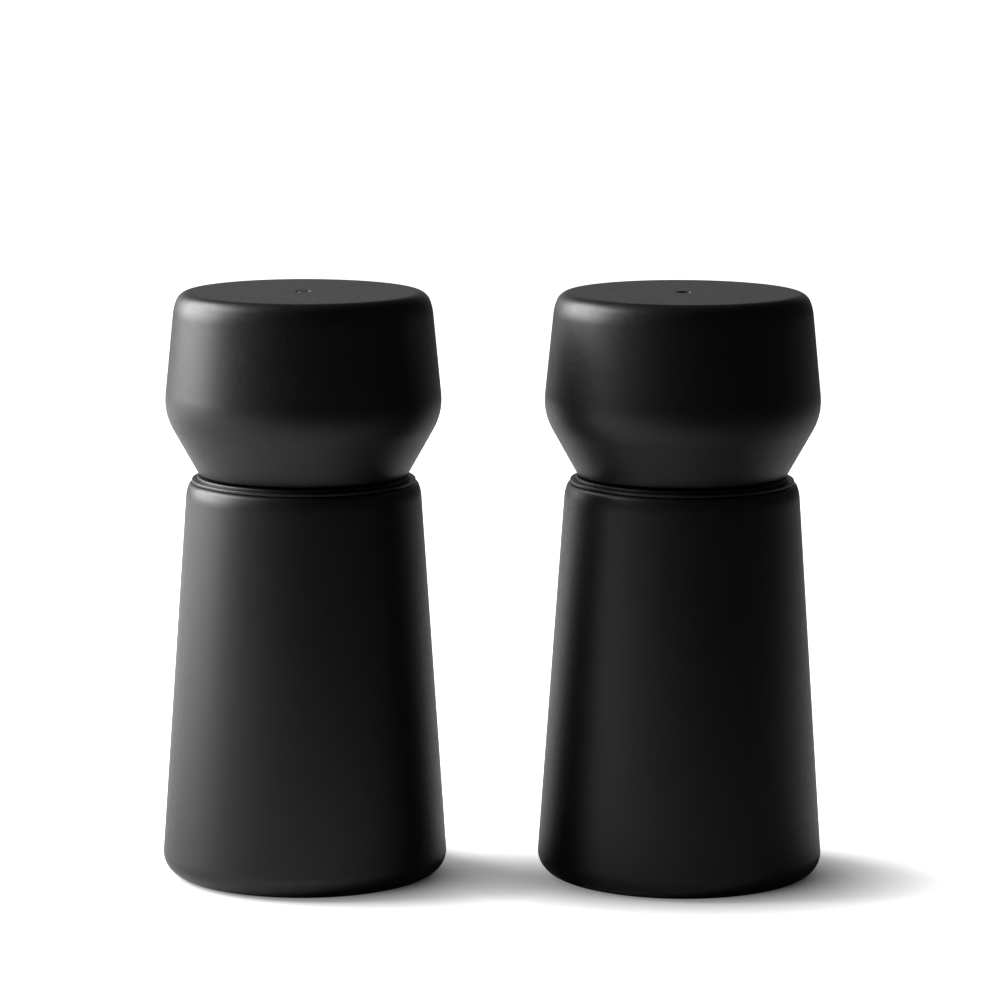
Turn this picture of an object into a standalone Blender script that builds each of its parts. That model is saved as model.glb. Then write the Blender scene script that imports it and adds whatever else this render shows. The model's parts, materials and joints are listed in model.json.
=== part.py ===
"""A pair of hand mills, one for salt and one for pepper, each built from separate pieces.

Sizes are in metres and +Z is up. The pair stands on z = 0, with the origin midway between the mills.
Each mill is sized from the inside out: shaft, grinder, housing, body, collar and head.
"""

import math
from collections import namedtuple

import bmesh
import bpy
from mathutils import Matrix

# Fits
FIT = 0.0003                      # gap between pieces that seat on each other
RUN = 0.0005                      # radial gap of the head's spigot in the collar
MERGE = 0.00001                   # distance at which points of one mesh are joined
CUT = 0.001                       # how far a cutter runs past what it cuts
ROUND_SHARE = 0.8                 # most of an edge that a rounded corner may take

# Drive shaft
SHAFT_SIDE = 0.006                # upper square, across its flats
JOURNAL_RADIUS = 0.0034
SHAFT_STEP = 0.0004               # radial step down to each lower section
SHAFT_FLANGE_OVERHANG = 0.0013
SHAFT_FLANGE_HEIGHT = 0.0016
SHAFT_TIP_GAP = 0.0015            # from the shaft's tip to the end of the head's bore
GROOVE_DEPTH = 0.0008

# Clip, washer, bush and bearing bridge
CLIP_PROUD = 0.0016
CLIP_HEIGHT = 0.0007
CLIP_OPENING = 0.0036
WASHER_WIDTH = 0.0022
WASHER_HEIGHT = 0.0007
BUSH_WALL = 0.0012
BUSH_FLANGE_OVERHANG = 0.0012
BUSH_FLANGE_HEIGHT = 0.0008
HUB_WALL = 0.0018
HUB_HEIGHT = 0.004
SPOKE_COUNT = 3
SPOKE_WIDTH = 0.003

# Spring
SPRING_WIRE = 0.0008
SPRING_CLEARANCE = 0.0007         # from the shaft's corners to the wire
SPRING_LENGTH = 0.0065
SPRING_TURNS = 4
SPRING_POINTS_PER_TURN = 9

# Adjusting knob
KNOB_GROUND = 0.0022              # clearance under the knob
KNOB_HEIGHT = 0.0065
KNOB_RADIUS = 0.009
KNOB_FLUTES = 14
FLUTE_DEPTH = 0.0009
THREAD_RECESS = 0.0008            # from the knob's underside to the thread's end
ROTOR_TRAVEL = 0.00125            # rise of the rotor from coarse to fine

# Rotor
CARRIER_WALL = 0.0014
CARRIER_SIDES = 6
CARRIER_FLANGE_OVERHANG = 0.0035
CARRIER_FLANGE_HEIGHT = 0.0015
CARRIER_PROUD = 0.0005
CONE_WALL = 0.0015
CONE_FLARE = 0.004
CONE_HEIGHT = 0.0082
CONE_TWIST = math.radians(14)
TOOTH_COUNT = 20
TOOTH_DEPTH = 0.0008

# Outer grinder and the ring that holds it
COARSE_GAP = 0.001                # radial gap of the grinders at the coarse end
RING_DROP = 0.0003
RING_HEIGHT = 0.009
RING_WALL = 0.0011
THROAT_RISE = 0.0035
RETAINER_OVERLAP = 0.0016
RETAINER_BITE = 0.0009
RETAINER_HEIGHT = 0.0014
RETAINER_OPENING = 0.006

# Housing and its screws
HOUSING_WALL = 0.0027
LEDGE_OVERLAP = 0.0012
LEDGE_HEIGHT = 0.0015
HOPPER_WALL = 0.0014
FLANGE_GROUND = 0.0016            # clearance under the flange
FLANGE_HEIGHT = 0.0026
FLANGE_EDGE = 0.0005
SCREW_COUNT = 2
SCREW_RADIUS = 0.0009
SCREW_HEAD_RADIUS = 0.0016
SCREW_HEAD_HEIGHT = 0.0012
SCREW_SINK = 0.0002
SCREW_LENGTH = 0.008
SCREW_EDGE = 0.0013
SLOT_WIDTH = 0.0005
SLOT_DEPTH = 0.0006

# Body shell
FOOT_RIM = 0.0018
BASE_ROUND = 0.0045
BODY_HEIGHT = 0.0832
SHOULDER_LEDGE = 0.00006
SHOULDER_ROUND = 0.002

# Neck collar
COLLAR_LEDGE = 0.00165
COLLAR_WALL = 0.0032
COLLAR_DEPTH = 0.008
LIP_OVERHANG = 0.002
LIP_HEIGHT = 0.0008
LIP_ROUND = 0.0003

# Head shell
NECK_GAP = 0.0006
HEAD_FOOT_SETBACK = 0.0002
HEAD_FOOT_ROUND = 0.0004
RIDGE_FLARE = 0.00698
RIDGE_RISE = 0.01247
RIDGE_ROUND = 0.012
HEAD_TAPER = 0.00251
HEAD_HEIGHT = 0.03773
TOP_ROUND = 0.0035
HEAD_BORE_DEPTH = 0.027
MARK_RADIUS = 0.00165
MARK_LINE = 0.0006
MARK_DEPTH = 0.0003

# Head insert and grip ring
INSERT_WALL = 0.006
SPIGOT_LENGTH = 0.007
SPIGOT_WALL = 0.0018
SPIGOT_HUB_WALL = 0.0022
SPIGOT_FLOOR = 0.0018
GRIP_WIDTH = 0.0024
GRIP_HEIGHT = 0.002
GRIP_OPENING = 0.003

# The pair
MILL_GAP = 0.01858                # between the feet of the two mills

# Steps round a full turn
SHELL_STEPS = 36
SLEEVE_STEPS = 28
SMALL_STEPS = 20
SCREW_STEPS = 10
ROUND_SEGMENTS = 4
RIDGE_SEGMENTS = 6
EDGE_SEGMENTS = 2
WIRE_RESOLUTION = 1               # bevel resolution of the spring's wire
SQUARE = 4

# Shaft radii
SHAFT_CORNER = SHAFT_SIDE / math.sqrt(2)
LOWER_CORNER = JOURNAL_RADIUS - SHAFT_STEP
LOWER_SIDE = LOWER_CORNER * math.sqrt(2)
THREAD_RADIUS = LOWER_SIDE / 2 - SHAFT_STEP
SHAFT_FLANGE_RADIUS = SHAFT_CORNER + SHAFT_FLANGE_OVERHANG
GROOVE_RADIUS = JOURNAL_RADIUS - GROOVE_DEPTH
BUSH_BORE = JOURNAL_RADIUS + FIT
BUSH_RADIUS = BUSH_BORE + BUSH_WALL
BUSH_FLANGE_RADIUS = BUSH_RADIUS + BUSH_FLANGE_OVERHANG
HUB_BORE = BUSH_RADIUS + FIT
HUB_RADIUS = HUB_BORE + HUB_WALL

# Grinder radii
CARRIER_HOLE_CORNER = LOWER_CORNER + FIT * math.sqrt(2)
HEX_STRETCH = 1 / math.cos(math.pi / CARRIER_SIDES)
CARRIER_CORNER = (CARRIER_HOLE_CORNER + CARRIER_WALL) * HEX_STRETCH
CARRIER_FLANGE_RADIUS = CARRIER_CORNER + CARRIER_FLANGE_OVERHANG
CONE_HOLE_CORNER = CARRIER_CORNER + FIT * HEX_STRETCH
CONE_TOP_RADIUS = CONE_HOLE_CORNER + CONE_WALL + TOOTH_DEPTH
CONE_RADIUS = CONE_TOP_RADIUS + CONE_FLARE
CONE_SLOPE = CONE_FLARE / CONE_HEIGHT
RING_MOUTH = CONE_RADIUS + COARSE_GAP + CONE_SLOPE * RING_DROP + TOOTH_DEPTH
RING_THROAT = RING_MOUTH - CONE_SLOPE * THROAT_RISE
RING_RADIUS = RING_MOUTH + RING_WALL

# Housing, body and collar radii
HOUSING_BORE = RING_RADIUS + FIT
RETAINER_GROOVE = HOUSING_BORE + RETAINER_BITE
HOUSING_RADIUS = HOUSING_BORE + HOUSING_WALL
LEDGE_RADIUS = RING_RADIUS - LEDGE_OVERLAP
HOPPER_RADIUS = HOUSING_RADIUS - HOPPER_WALL
CHAMBER_RADIUS = HOUSING_RADIUS + FIT
SCREW_HOLE = SCREW_RADIUS + FIT
SCREW_HEAD_HOLE = SCREW_HEAD_RADIUS + FIT
SCREW_CIRCLE = CHAMBER_RADIUS + SCREW_EDGE + SCREW_HOLE
FLANGE_RADIUS = SCREW_CIRCLE + SCREW_HEAD_HOLE + FLANGE_EDGE
RECESS_RADIUS = FLANGE_RADIUS + FIT
BASE_RADIUS = RECESS_RADIUS + FOOT_RIM + BASE_ROUND
COLLAR_RADIUS = CHAMBER_RADIUS + COLLAR_LEDGE
COLLAR_BORE = COLLAR_RADIUS - COLLAR_WALL
COLLAR_SEAT = COLLAR_RADIUS + FIT
LIP_RADIUS = COLLAR_RADIUS + LIP_OVERHANG
SHOULDER_RADIUS = LIP_RADIUS + SHOULDER_LEDGE + SHOULDER_ROUND

# Head radii
HEAD_FOOT_RADIUS = LIP_RADIUS - HEAD_FOOT_SETBACK
RIDGE_RADIUS = HEAD_FOOT_RADIUS + RIDGE_FLARE
HEAD_TOP_RADIUS = RIDGE_RADIUS - HEAD_TAPER
SPIGOT_RADIUS = COLLAR_BORE - RUN
SOCKET_CORNER = SHAFT_CORNER + FIT * math.sqrt(2)
INSERT_RADIUS = SOCKET_CORNER + INSERT_WALL
HEAD_BORE = INSERT_RADIUS + FIT
GRIP_BORE = SHAFT_CORNER + FIT
GRIP_RADIUS = GRIP_BORE + GRIP_WIDTH

# Heights of the grinder, from the knob up to the shaft's flange
KNOB_TOP = KNOB_GROUND + KNOB_HEIGHT
CARRIER_BOTTOM = KNOB_TOP + FIT
CARRIER_FLANGE_TOP = CARRIER_BOTTOM + CARRIER_FLANGE_HEIGHT
CONE_BOTTOM = CARRIER_FLANGE_TOP + FIT
CONE_TOP = CONE_BOTTOM + CONE_HEIGHT
CARRIER_TOP = CONE_TOP + CARRIER_PROUD
SPRING_BOTTOM = CARRIER_TOP + FIT
SPRING_TOP = SPRING_BOTTOM + SPRING_LENGTH
WASHER_BOTTOM = SPRING_TOP + FIT
WASHER_TOP = WASHER_BOTTOM + WASHER_HEIGHT
CLIP_BOTTOM = WASHER_TOP + FIT
CLIP_TOP = CLIP_BOTTOM + CLIP_HEIGHT
HUB_BOTTOM = CLIP_TOP + FIT
HUB_TOP = HUB_BOTTOM + HUB_HEIGHT
BUSH_TOP = HUB_TOP + FIT + BUSH_FLANGE_HEIGHT
SHAFT_FLANGE_BOTTOM = BUSH_TOP + FIT
SHAFT_FLANGE_TOP = SHAFT_FLANGE_BOTTOM + SHAFT_FLANGE_HEIGHT
LOWER_SQUARE_BOTTOM = KNOB_TOP + ROTOR_TRAVEL + 2 * FIT
RING_BOTTOM = CONE_BOTTOM - RING_DROP
RING_TOP = RING_BOTTOM + RING_HEIGHT
RETAINER_TOP = RING_BOTTOM - FIT
RETAINER_BOTTOM = RETAINER_TOP - RETAINER_HEIGHT
LEDGE_TOP = RING_TOP + FIT + LEDGE_HEIGHT
HOPPER_BOTTOM = LEDGE_TOP + HOPPER_RADIUS - LEDGE_RADIUS
FLANGE_TOP = FLANGE_GROUND + FLANGE_HEIGHT
SCREW_BOTTOM = FLANGE_GROUND + SCREW_SINK
SCREW_HEAD_TOP = SCREW_BOTTOM + SCREW_HEAD_HEIGHT
SCREW_TOP = SCREW_HEAD_TOP + SCREW_LENGTH

# Heights of the neck and the head
RECESS_TOP = FLANGE_TOP + FIT
COLLAR_BOTTOM = BODY_HEIGHT - COLLAR_DEPTH
SEAT_BOTTOM = COLLAR_BOTTOM - FIT
LIP_BOTTOM = BODY_HEIGHT + FIT
LIP_TOP = LIP_BOTTOM + LIP_HEIGHT
HEAD_BOTTOM = LIP_TOP + NECK_GAP
HEAD_TOP = HEAD_BOTTOM + HEAD_HEIGHT
HEAD_BORE_TOP = HEAD_BOTTOM + HEAD_BORE_DEPTH
INSERT_TOP = HEAD_BORE_TOP - FIT
GRIP_TOP = INSERT_TOP - FIT
GRIP_BOTTOM = GRIP_TOP - GRIP_HEIGHT
GRIP_FLOOR = GRIP_BOTTOM - FIT
SHAFT_TOP = HEAD_BORE_TOP - SHAFT_TIP_GAP
SPIGOT_TOP = HEAD_BOTTOM - FIT
SPIGOT_BOTTOM = SPIGOT_TOP - SPIGOT_LENGTH

MILL_SPACING = 2 * BASE_RADIUS + MILL_GAP

# Colour, roughness and metallic value of each finish
FINISHES = {
    "black_lacquer": ((0.012, 0.012, 0.012), 0.42, 0.0),
    "black_plastic": ((0.014, 0.014, 0.015), 0.50, 0.0),
    "grey_plastic": ((0.16, 0.16, 0.165), 0.48, 0.0),
    "pale_plastic": ((0.70, 0.69, 0.66), 0.40, 0.0),
    "aluminium": ((0.78, 0.78, 0.79), 0.34, 1.0),
    "steel": ((0.62, 0.62, 0.63), 0.28, 1.0),
    "ceramic": ((0.86, 0.84, 0.79), 0.35, 0.0),
    "rubber": ((0.02, 0.02, 0.02), 0.70, 0.0),
}

Mill = namedtuple("Mill", "name carrier parts cutters ring_mark")


def clear_scene():
    """Removes every object of the open scene."""
    for obj in list(bpy.data.objects):
        bpy.data.objects.remove(obj, do_unlink=True)


def new_collection(name):
    """Returns a new collection in the scene."""
    group = bpy.data.collections.new(name)
    bpy.context.scene.collection.children.link(group)
    return group


def make_material(name):
    """Makes the material of a finish."""
    colour, roughness, metallic = FINISHES[name]
    finish = bpy.data.materials.new(name)
    finish.use_nodes = True
    shader = finish.node_tree.nodes["Principled BSDF"]
    shader.inputs["Base Color"].default_value = (*colour, 1.0)
    shader.inputs["Roughness"].default_value = roughness
    shader.inputs["Metallic"].default_value = metallic


def add_part(mill, name, data, finish):
    """Adds a piece to a mill."""
    obj = bpy.data.objects.new(f"{mill.name}_{name}", data)
    data.materials.append(bpy.data.materials[finish])
    obj.parent = mill.carrier
    mill.parts.objects.link(obj)
    return obj


def add_tool(mill, target, name, mesh, operation):
    """Adds a tool body to a mill and cuts it from the target, or joins it to the target."""
    tool = bpy.data.objects.new(f"{target.name}_{name}", mesh)
    tool.parent = mill.carrier
    tool.hide_render = True
    tool.display_type = "WIRE"
    mill.cutters.objects.link(tool)
    modifier = target.modifiers.new(name, "BOOLEAN")
    modifier.operation = operation
    modifier.solver = "EXACT"
    modifier.object = tool


def rounded(before, corner, after, radius, segments):
    """Returns the points of an arc that rounds a corner of an outline."""
    ax, az = before[0] - corner[0], before[1] - corner[1]
    bx, bz = after[0] - corner[0], after[1] - corner[1]
    a_length, b_length = math.hypot(ax, az), math.hypot(bx, bz)
    ax, az, bx, bz = ax / a_length, az / a_length, bx / b_length, bz / b_length
    half = math.acos(ax * bx + az * bz) / 2
    reach = min(radius / math.tan(half), ROUND_SHARE * a_length, ROUND_SHARE * b_length)
    radius = reach * math.tan(half)
    mx, mz = ax + bx, az + bz
    scale = radius / math.sin(half) / math.hypot(mx, mz)
    centre_x, centre_z = corner[0] + mx * scale, corner[1] + mz * scale
    start = math.atan2(corner[1] + az * reach - centre_z, corner[0] + ax * reach - centre_x)
    end = math.atan2(corner[1] + bz * reach - centre_z, corner[0] + bx * reach - centre_x)
    sweep = (end - start + math.pi) % (2 * math.pi) - math.pi
    angles = [start + sweep * step / segments for step in range(segments + 1)]
    return [(centre_x + radius * math.cos(a), centre_z + radius * math.sin(a)) for a in angles]


def add_turned(mill, name, profile, steps, finish, closed=True):
    """Adds a turned piece from a profile of radius and height, which runs down its outer side."""
    mesh = bpy.data.meshes.new(name)
    bm = bmesh.new()
    points = [bm.verts.new((radius, 0.0, height)) for radius, height in profile]
    if closed:
        points.append(points[0])
    for first, second in zip(points, points[1:]):
        bm.edges.new((first, second))
    bm.to_mesh(mesh)
    bm.free()
    obj = add_part(mill, name, mesh, finish)
    screw = obj.modifiers.new("Turn", "SCREW")
    screw.steps = steps
    screw.render_steps = steps
    screw.use_merge_vertices = True
    screw.merge_threshold = MERGE
    screw.use_smooth_shade = True
    return obj


def tube_profile(inner, outer, bottom, top):
    """Returns the profile of a plain tube or washer."""
    return [(inner, top), (outer, top), (outer, bottom), (inner, bottom)]


def prism(name, sides, corner_radius, bottom, top, x=0.0, y=0.0):
    """Returns a mesh of an upright prism, whose first flat faces +X."""
    mesh = bpy.data.meshes.new(name)
    bm = bmesh.new()
    turn = Matrix.Rotation(math.pi / sides, 4, "Z")
    place = Matrix.Translation((x, y, (bottom + top) / 2)) @ turn
    bmesh.ops.create_cone(bm, cap_ends=True, segments=sides, radius1=corner_radius,
                          radius2=corner_radius, depth=top - bottom, matrix=place)
    bm.to_mesh(mesh)
    bm.free()
    return mesh


def bar(name, reach, width, bottom, top, turn=0.0):
    """Returns a mesh of a bar that runs from the axis outwards."""
    mesh = bpy.data.meshes.new(name)
    bm = bmesh.new()
    place = Matrix.Rotation(turn, 4, "Z") @ Matrix.Translation((reach / 2, 0.0, (bottom + top) / 2))
    size = Matrix.Diagonal((reach, width, top - bottom, 1.0))
    bmesh.ops.create_cube(bm, size=1.0, matrix=place @ size)
    bm.to_mesh(mesh)
    bm.free()
    return mesh


def fluted(name, count, depth, levels):
    """Returns a mesh of stacked toothed sections, each given as height, outer radius and turn."""
    mesh = bpy.data.meshes.new(name)
    bm = bmesh.new()
    points = 2 * count
    verts = bmesh.ops.create_circle(bm, cap_ends=True, segments=points, radius=1.0)["verts"]
    edges = bm.edges[:]
    last_turn = 0.0
    for number, (height, radius, turn) in enumerate(levels):
        if number:
            grown = bmesh.ops.extrude_edge_only(bm, edges=edges)["geom"]
            verts = [item for item in grown if isinstance(item, bmesh.types.BMVert)]
            edges = [item for item in grown if isinstance(item, bmesh.types.BMEdge)]
        for vert in verts:
            index = round((math.atan2(vert.co.y, vert.co.x) - last_turn) * points / (2 * math.pi))
            angle = index * 2 * math.pi / points + turn
            reach = radius - depth * (index % 2)
            vert.co = (reach * math.cos(angle), reach * math.sin(angle), height)
        last_turn = turn
    bmesh.ops.edgeloop_fill(bm, edges=edges)
    bmesh.ops.recalc_face_normals(bm, faces=bm.faces[:])
    bm.to_mesh(mesh)
    bm.free()
    return mesh


def make_body_shell(mill):
    """The turned body: foot, tapered wall, shoulder, spice chamber and the seats cut into both ends."""
    foot, shoulder = (BASE_RADIUS, 0.0), (SHOULDER_RADIUS, BODY_HEIGHT)
    seat_edge, recess_edge = (COLLAR_SEAT, BODY_HEIGHT), (RECESS_RADIUS, 0.0)
    profile = [seat_edge]
    profile += rounded(seat_edge, shoulder, foot, SHOULDER_ROUND, ROUND_SEGMENTS)
    profile += rounded(shoulder, foot, recess_edge, BASE_ROUND, ROUND_SEGMENTS)
    profile += [recess_edge, (RECESS_RADIUS, RECESS_TOP), (CHAMBER_RADIUS, RECESS_TOP),
                (CHAMBER_RADIUS, SEAT_BOTTOM), (COLLAR_SEAT, SEAT_BOTTOM)]
    shell = add_turned(mill, "body_shell", profile, SHELL_STEPS, "black_lacquer")
    for number, (x, y) in enumerate(screw_places(), 1):
        hole = prism("pilot", SCREW_STEPS, SCREW_HOLE, FLANGE_TOP - CUT, SCREW_TOP + FIT, x, y)
        add_tool(mill, shell, f"pilot_{number}", hole, "DIFFERENCE")


def make_neck_collar(mill):
    """The dark ring in the neck, with a sleeve that sits in the body's mouth."""
    top_edge, rim, under = (COLLAR_BORE, LIP_TOP), (LIP_RADIUS, LIP_TOP), (LIP_RADIUS, LIP_BOTTOM)
    profile = [top_edge]
    profile += rounded(top_edge, rim, under, LIP_ROUND, EDGE_SEGMENTS)
    profile += [under, (COLLAR_RADIUS, LIP_BOTTOM), (COLLAR_RADIUS, COLLAR_BOTTOM),
                (COLLAR_BORE, COLLAR_BOTTOM)]
    add_turned(mill, "neck_collar", profile, SHELL_STEPS, "black_plastic")


def top_mark(mill):
    """Returns the profile of the small mark in the head's top: a ring groove or a round dimple."""
    floor = HEAD_TOP - MARK_DEPTH
    if mill.ring_mark:
        inner = MARK_RADIUS - MARK_LINE
        return [(0.0, HEAD_TOP), (inner, HEAD_TOP), (inner, floor), (MARK_RADIUS, floor),
                (MARK_RADIUS, HEAD_TOP)]
    return [(0.0, floor), (MARK_RADIUS, floor), (MARK_RADIUS, HEAD_TOP)]


def make_head_shell(mill):
    """The turned head: flat top with a mark, soft ridge, small foot and a bore for the insert."""
    mark = top_mark(mill)
    rim, ridge = (HEAD_TOP_RADIUS, HEAD_TOP), (RIDGE_RADIUS, HEAD_BOTTOM + RIDGE_RISE)
    foot, bore_edge = (HEAD_FOOT_RADIUS, HEAD_BOTTOM), (HEAD_BORE, HEAD_BOTTOM)
    profile = list(mark)
    profile += rounded(mark[-1], rim, ridge, TOP_ROUND, ROUND_SEGMENTS)
    profile += rounded(rim, ridge, foot, RIDGE_ROUND, RIDGE_SEGMENTS)
    profile += rounded(ridge, foot, bore_edge, HEAD_FOOT_ROUND, EDGE_SEGMENTS)
    profile += [bore_edge, (HEAD_BORE, HEAD_BORE_TOP), (0.0, HEAD_BORE_TOP)]
    add_turned(mill, "head_shell", profile, SHELL_STEPS, "black_lacquer", closed=False)


def make_head_insert(mill):
    """The plug in the head: barrel, hollow spigot, square socket and a recess for the grip ring."""
    recess = GRIP_RADIUS + FIT
    skirt = SPIGOT_RADIUS - SPIGOT_WALL
    hub = SOCKET_CORNER + SPIGOT_HUB_WALL
    ceiling = SPIGOT_TOP - SPIGOT_FLOOR
    profile = [(0.0, GRIP_FLOOR), (recess, GRIP_FLOOR), (recess, INSERT_TOP),
               (INSERT_RADIUS, INSERT_TOP), (INSERT_RADIUS, SPIGOT_TOP), (SPIGOT_RADIUS, SPIGOT_TOP),
               (SPIGOT_RADIUS, SPIGOT_BOTTOM), (skirt, SPIGOT_BOTTOM), (skirt, ceiling),
               (hub, ceiling), (hub, SPIGOT_BOTTOM), (0.0, SPIGOT_BOTTOM)]
    insert = add_turned(mill, "head_insert", profile, SLEEVE_STEPS, "grey_plastic", closed=False)
    socket = prism("socket", SQUARE, SOCKET_CORNER, SPIGOT_BOTTOM - CUT, GRIP_FLOOR + CUT)
    add_tool(mill, insert, "socket", socket, "DIFFERENCE")


def add_split_ring(mill, name, profile, steps, opening, finish):
    """Adds a ring that is cut through on its +X side."""
    ring = add_turned(mill, name, profile, steps, finish)
    heights = [height for _, height in profile]
    reach = max(radius for radius, _ in profile) + CUT
    slit = bar("slit", reach, opening, min(heights) - CUT, max(heights) + CUT)
    add_tool(mill, ring, "slit", slit, "DIFFERENCE")


def make_drive_shaft(mill):
    """The shaft: upper square, flange, journal with a clip groove, lower square and threaded end."""
    groove_bottom, groove_top = CLIP_BOTTOM - FIT, CLIP_TOP + FIT
    profile = [(0.0, SHAFT_FLANGE_TOP), (SHAFT_FLANGE_RADIUS, SHAFT_FLANGE_TOP),
               (SHAFT_FLANGE_RADIUS, SHAFT_FLANGE_BOTTOM), (JOURNAL_RADIUS, SHAFT_FLANGE_BOTTOM),
               (JOURNAL_RADIUS, groove_top), (GROOVE_RADIUS, groove_top),
               (GROOVE_RADIUS, groove_bottom), (JOURNAL_RADIUS, groove_bottom),
               (JOURNAL_RADIUS, WASHER_BOTTOM), (THREAD_RADIUS, WASHER_BOTTOM),
               (THREAD_RADIUS, KNOB_GROUND + THREAD_RECESS), (0.0, KNOB_GROUND + THREAD_RECESS)]
    shaft = add_turned(mill, "drive_shaft", profile, SMALL_STEPS, "aluminium", closed=False)
    upper = prism("upper_square", SQUARE, SHAFT_CORNER, SHAFT_FLANGE_BOTTOM + FIT, SHAFT_TOP)
    lower = prism("lower_square", SQUARE, LOWER_CORNER, LOWER_SQUARE_BOTTOM, WASHER_BOTTOM + FIT)
    add_tool(mill, shaft, "upper_square", upper, "UNION")
    add_tool(mill, shaft, "lower_square", lower, "UNION")


def make_shaft_fittings(mill):
    """The bush, clip, washer and grip ring that sit on the shaft."""
    bush = [(BUSH_BORE, BUSH_TOP), (BUSH_FLANGE_RADIUS, BUSH_TOP), (BUSH_FLANGE_RADIUS, HUB_TOP + FIT),
            (BUSH_RADIUS, HUB_TOP + FIT), (BUSH_RADIUS, HUB_BOTTOM), (BUSH_BORE, HUB_BOTTOM)]
    add_turned(mill, "bearing_bush", bush, SMALL_STEPS, "pale_plastic")
    clip = tube_profile(GROOVE_RADIUS + FIT, JOURNAL_RADIUS + CLIP_PROUD, CLIP_BOTTOM, CLIP_TOP)
    add_split_ring(mill, "shaft_clip", clip, SMALL_STEPS, CLIP_OPENING, "steel")
    washer = tube_profile(BUSH_BORE, BUSH_BORE + WASHER_WIDTH, WASHER_BOTTOM, WASHER_TOP)
    add_turned(mill, "thrust_washer", washer, SMALL_STEPS, "steel")
    grip = tube_profile(GRIP_BORE, GRIP_RADIUS, GRIP_BOTTOM, GRIP_TOP)
    add_split_ring(mill, "grip_ring", grip, SMALL_STEPS, GRIP_OPENING, "rubber")


def spring_points():
    """Returns the centre line of the spring, a plain helix from its top down."""
    radius = LOWER_CORNER + SPRING_CLEARANCE + SPRING_WIRE / 2
    low, high = SPRING_BOTTOM + SPRING_WIRE / 2, SPRING_TOP - SPRING_WIRE / 2
    count = SPRING_TURNS * SPRING_POINTS_PER_TURN
    points = []
    for number in range(count + 1):
        angle = 2 * math.pi * number / SPRING_POINTS_PER_TURN
        height = high + (low - high) * number / count
        points.append((radius * math.cos(angle), radius * math.sin(angle), height))
    return points


def least_gap(points):
    """Returns the least gap of the spring's wire to itself, measured on its points."""
    skip = SPRING_POINTS_PER_TURN // 2
    pairs = ((first, second) for number, first in enumerate(points) for second in points[number + skip:])
    return min(math.dist(first, second) for first, second in pairs) - SPRING_WIRE


def make_grinder_spring(mill):
    """The spring that presses the rotor down on the knob: one wire along a helix."""
    points = spring_points()
    curve = bpy.data.curves.new("grinder_spring", "CURVE")
    curve.dimensions = "3D"
    curve.bevel_depth = SPRING_WIRE / 2
    curve.bevel_resolution = WIRE_RESOLUTION
    curve.use_fill_caps = True
    spline = curve.splines.new("POLY")
    spline.points.add(len(points) - 1)
    for target, point in zip(spline.points, points):
        target.co = (*point, 1.0)
    add_part(mill, "grinder_spring", curve, "steel")
    print(f"{mill.name} spring: least gap of the wire to itself {least_gap(points) * 1000:.2f} mm")


def make_rotor(mill):
    """The carrier that slides on the shaft, and the toothed cone that it turns."""
    flange = prism("rotor_carrier", SLEEVE_STEPS, CARRIER_FLANGE_RADIUS, CARRIER_BOTTOM, CARRIER_FLANGE_TOP)
    carrier = add_part(mill, "rotor_carrier", flange, "grey_plastic")
    barrel = prism("barrel", CARRIER_SIDES, CARRIER_CORNER, CARRIER_BOTTOM + FIT, CARRIER_TOP)
    add_tool(mill, carrier, "barrel", barrel, "UNION")
    hole = prism("hole", SQUARE, CARRIER_HOLE_CORNER, CARRIER_BOTTOM - CUT, CARRIER_TOP + CUT)
    add_tool(mill, carrier, "hole", hole, "DIFFERENCE")
    levels = [(CONE_BOTTOM, CONE_RADIUS, 0.0), (CONE_TOP, CONE_TOP_RADIUS, CONE_TWIST)]
    cone = add_part(mill, "ceramic_cone", fluted("ceramic_cone", TOOTH_COUNT, TOOTH_DEPTH, levels), "ceramic")
    socket = prism("hex_socket", CARRIER_SIDES, CONE_HOLE_CORNER, CONE_BOTTOM - CUT, CONE_TOP + CUT)
    add_tool(mill, cone, "hex_socket", socket, "DIFFERENCE")


def make_outer_grinder(mill):
    """The toothed ring round the cone, widest at both ends, and the split ring that holds it."""
    blank = prism("ceramic_ring", SLEEVE_STEPS, RING_RADIUS, RING_BOTTOM, RING_TOP)
    ring = add_part(mill, "ceramic_ring", blank, "ceramic")
    feed_slope = (RING_MOUTH - RING_THROAT) / (RING_HEIGHT - THROAT_RISE)
    levels = [(RING_BOTTOM - CUT, RING_MOUTH + CONE_SLOPE * CUT, 0.0),
              (RING_BOTTOM + THROAT_RISE, RING_THROAT, 0.0),
              (RING_TOP + CUT, RING_MOUTH + feed_slope * CUT, 0.0)]
    add_tool(mill, ring, "bore", fluted("bore", TOOTH_COUNT, TOOTH_DEPTH, levels), "DIFFERENCE")
    retainer = tube_profile(RING_RADIUS - RETAINER_OVERLAP, RETAINER_GROOVE - FIT,
                            RETAINER_BOTTOM, RETAINER_TOP)
    add_split_ring(mill, "retaining_ring", retainer, SLEEVE_STEPS, RETAINER_OPENING, "steel")


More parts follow.
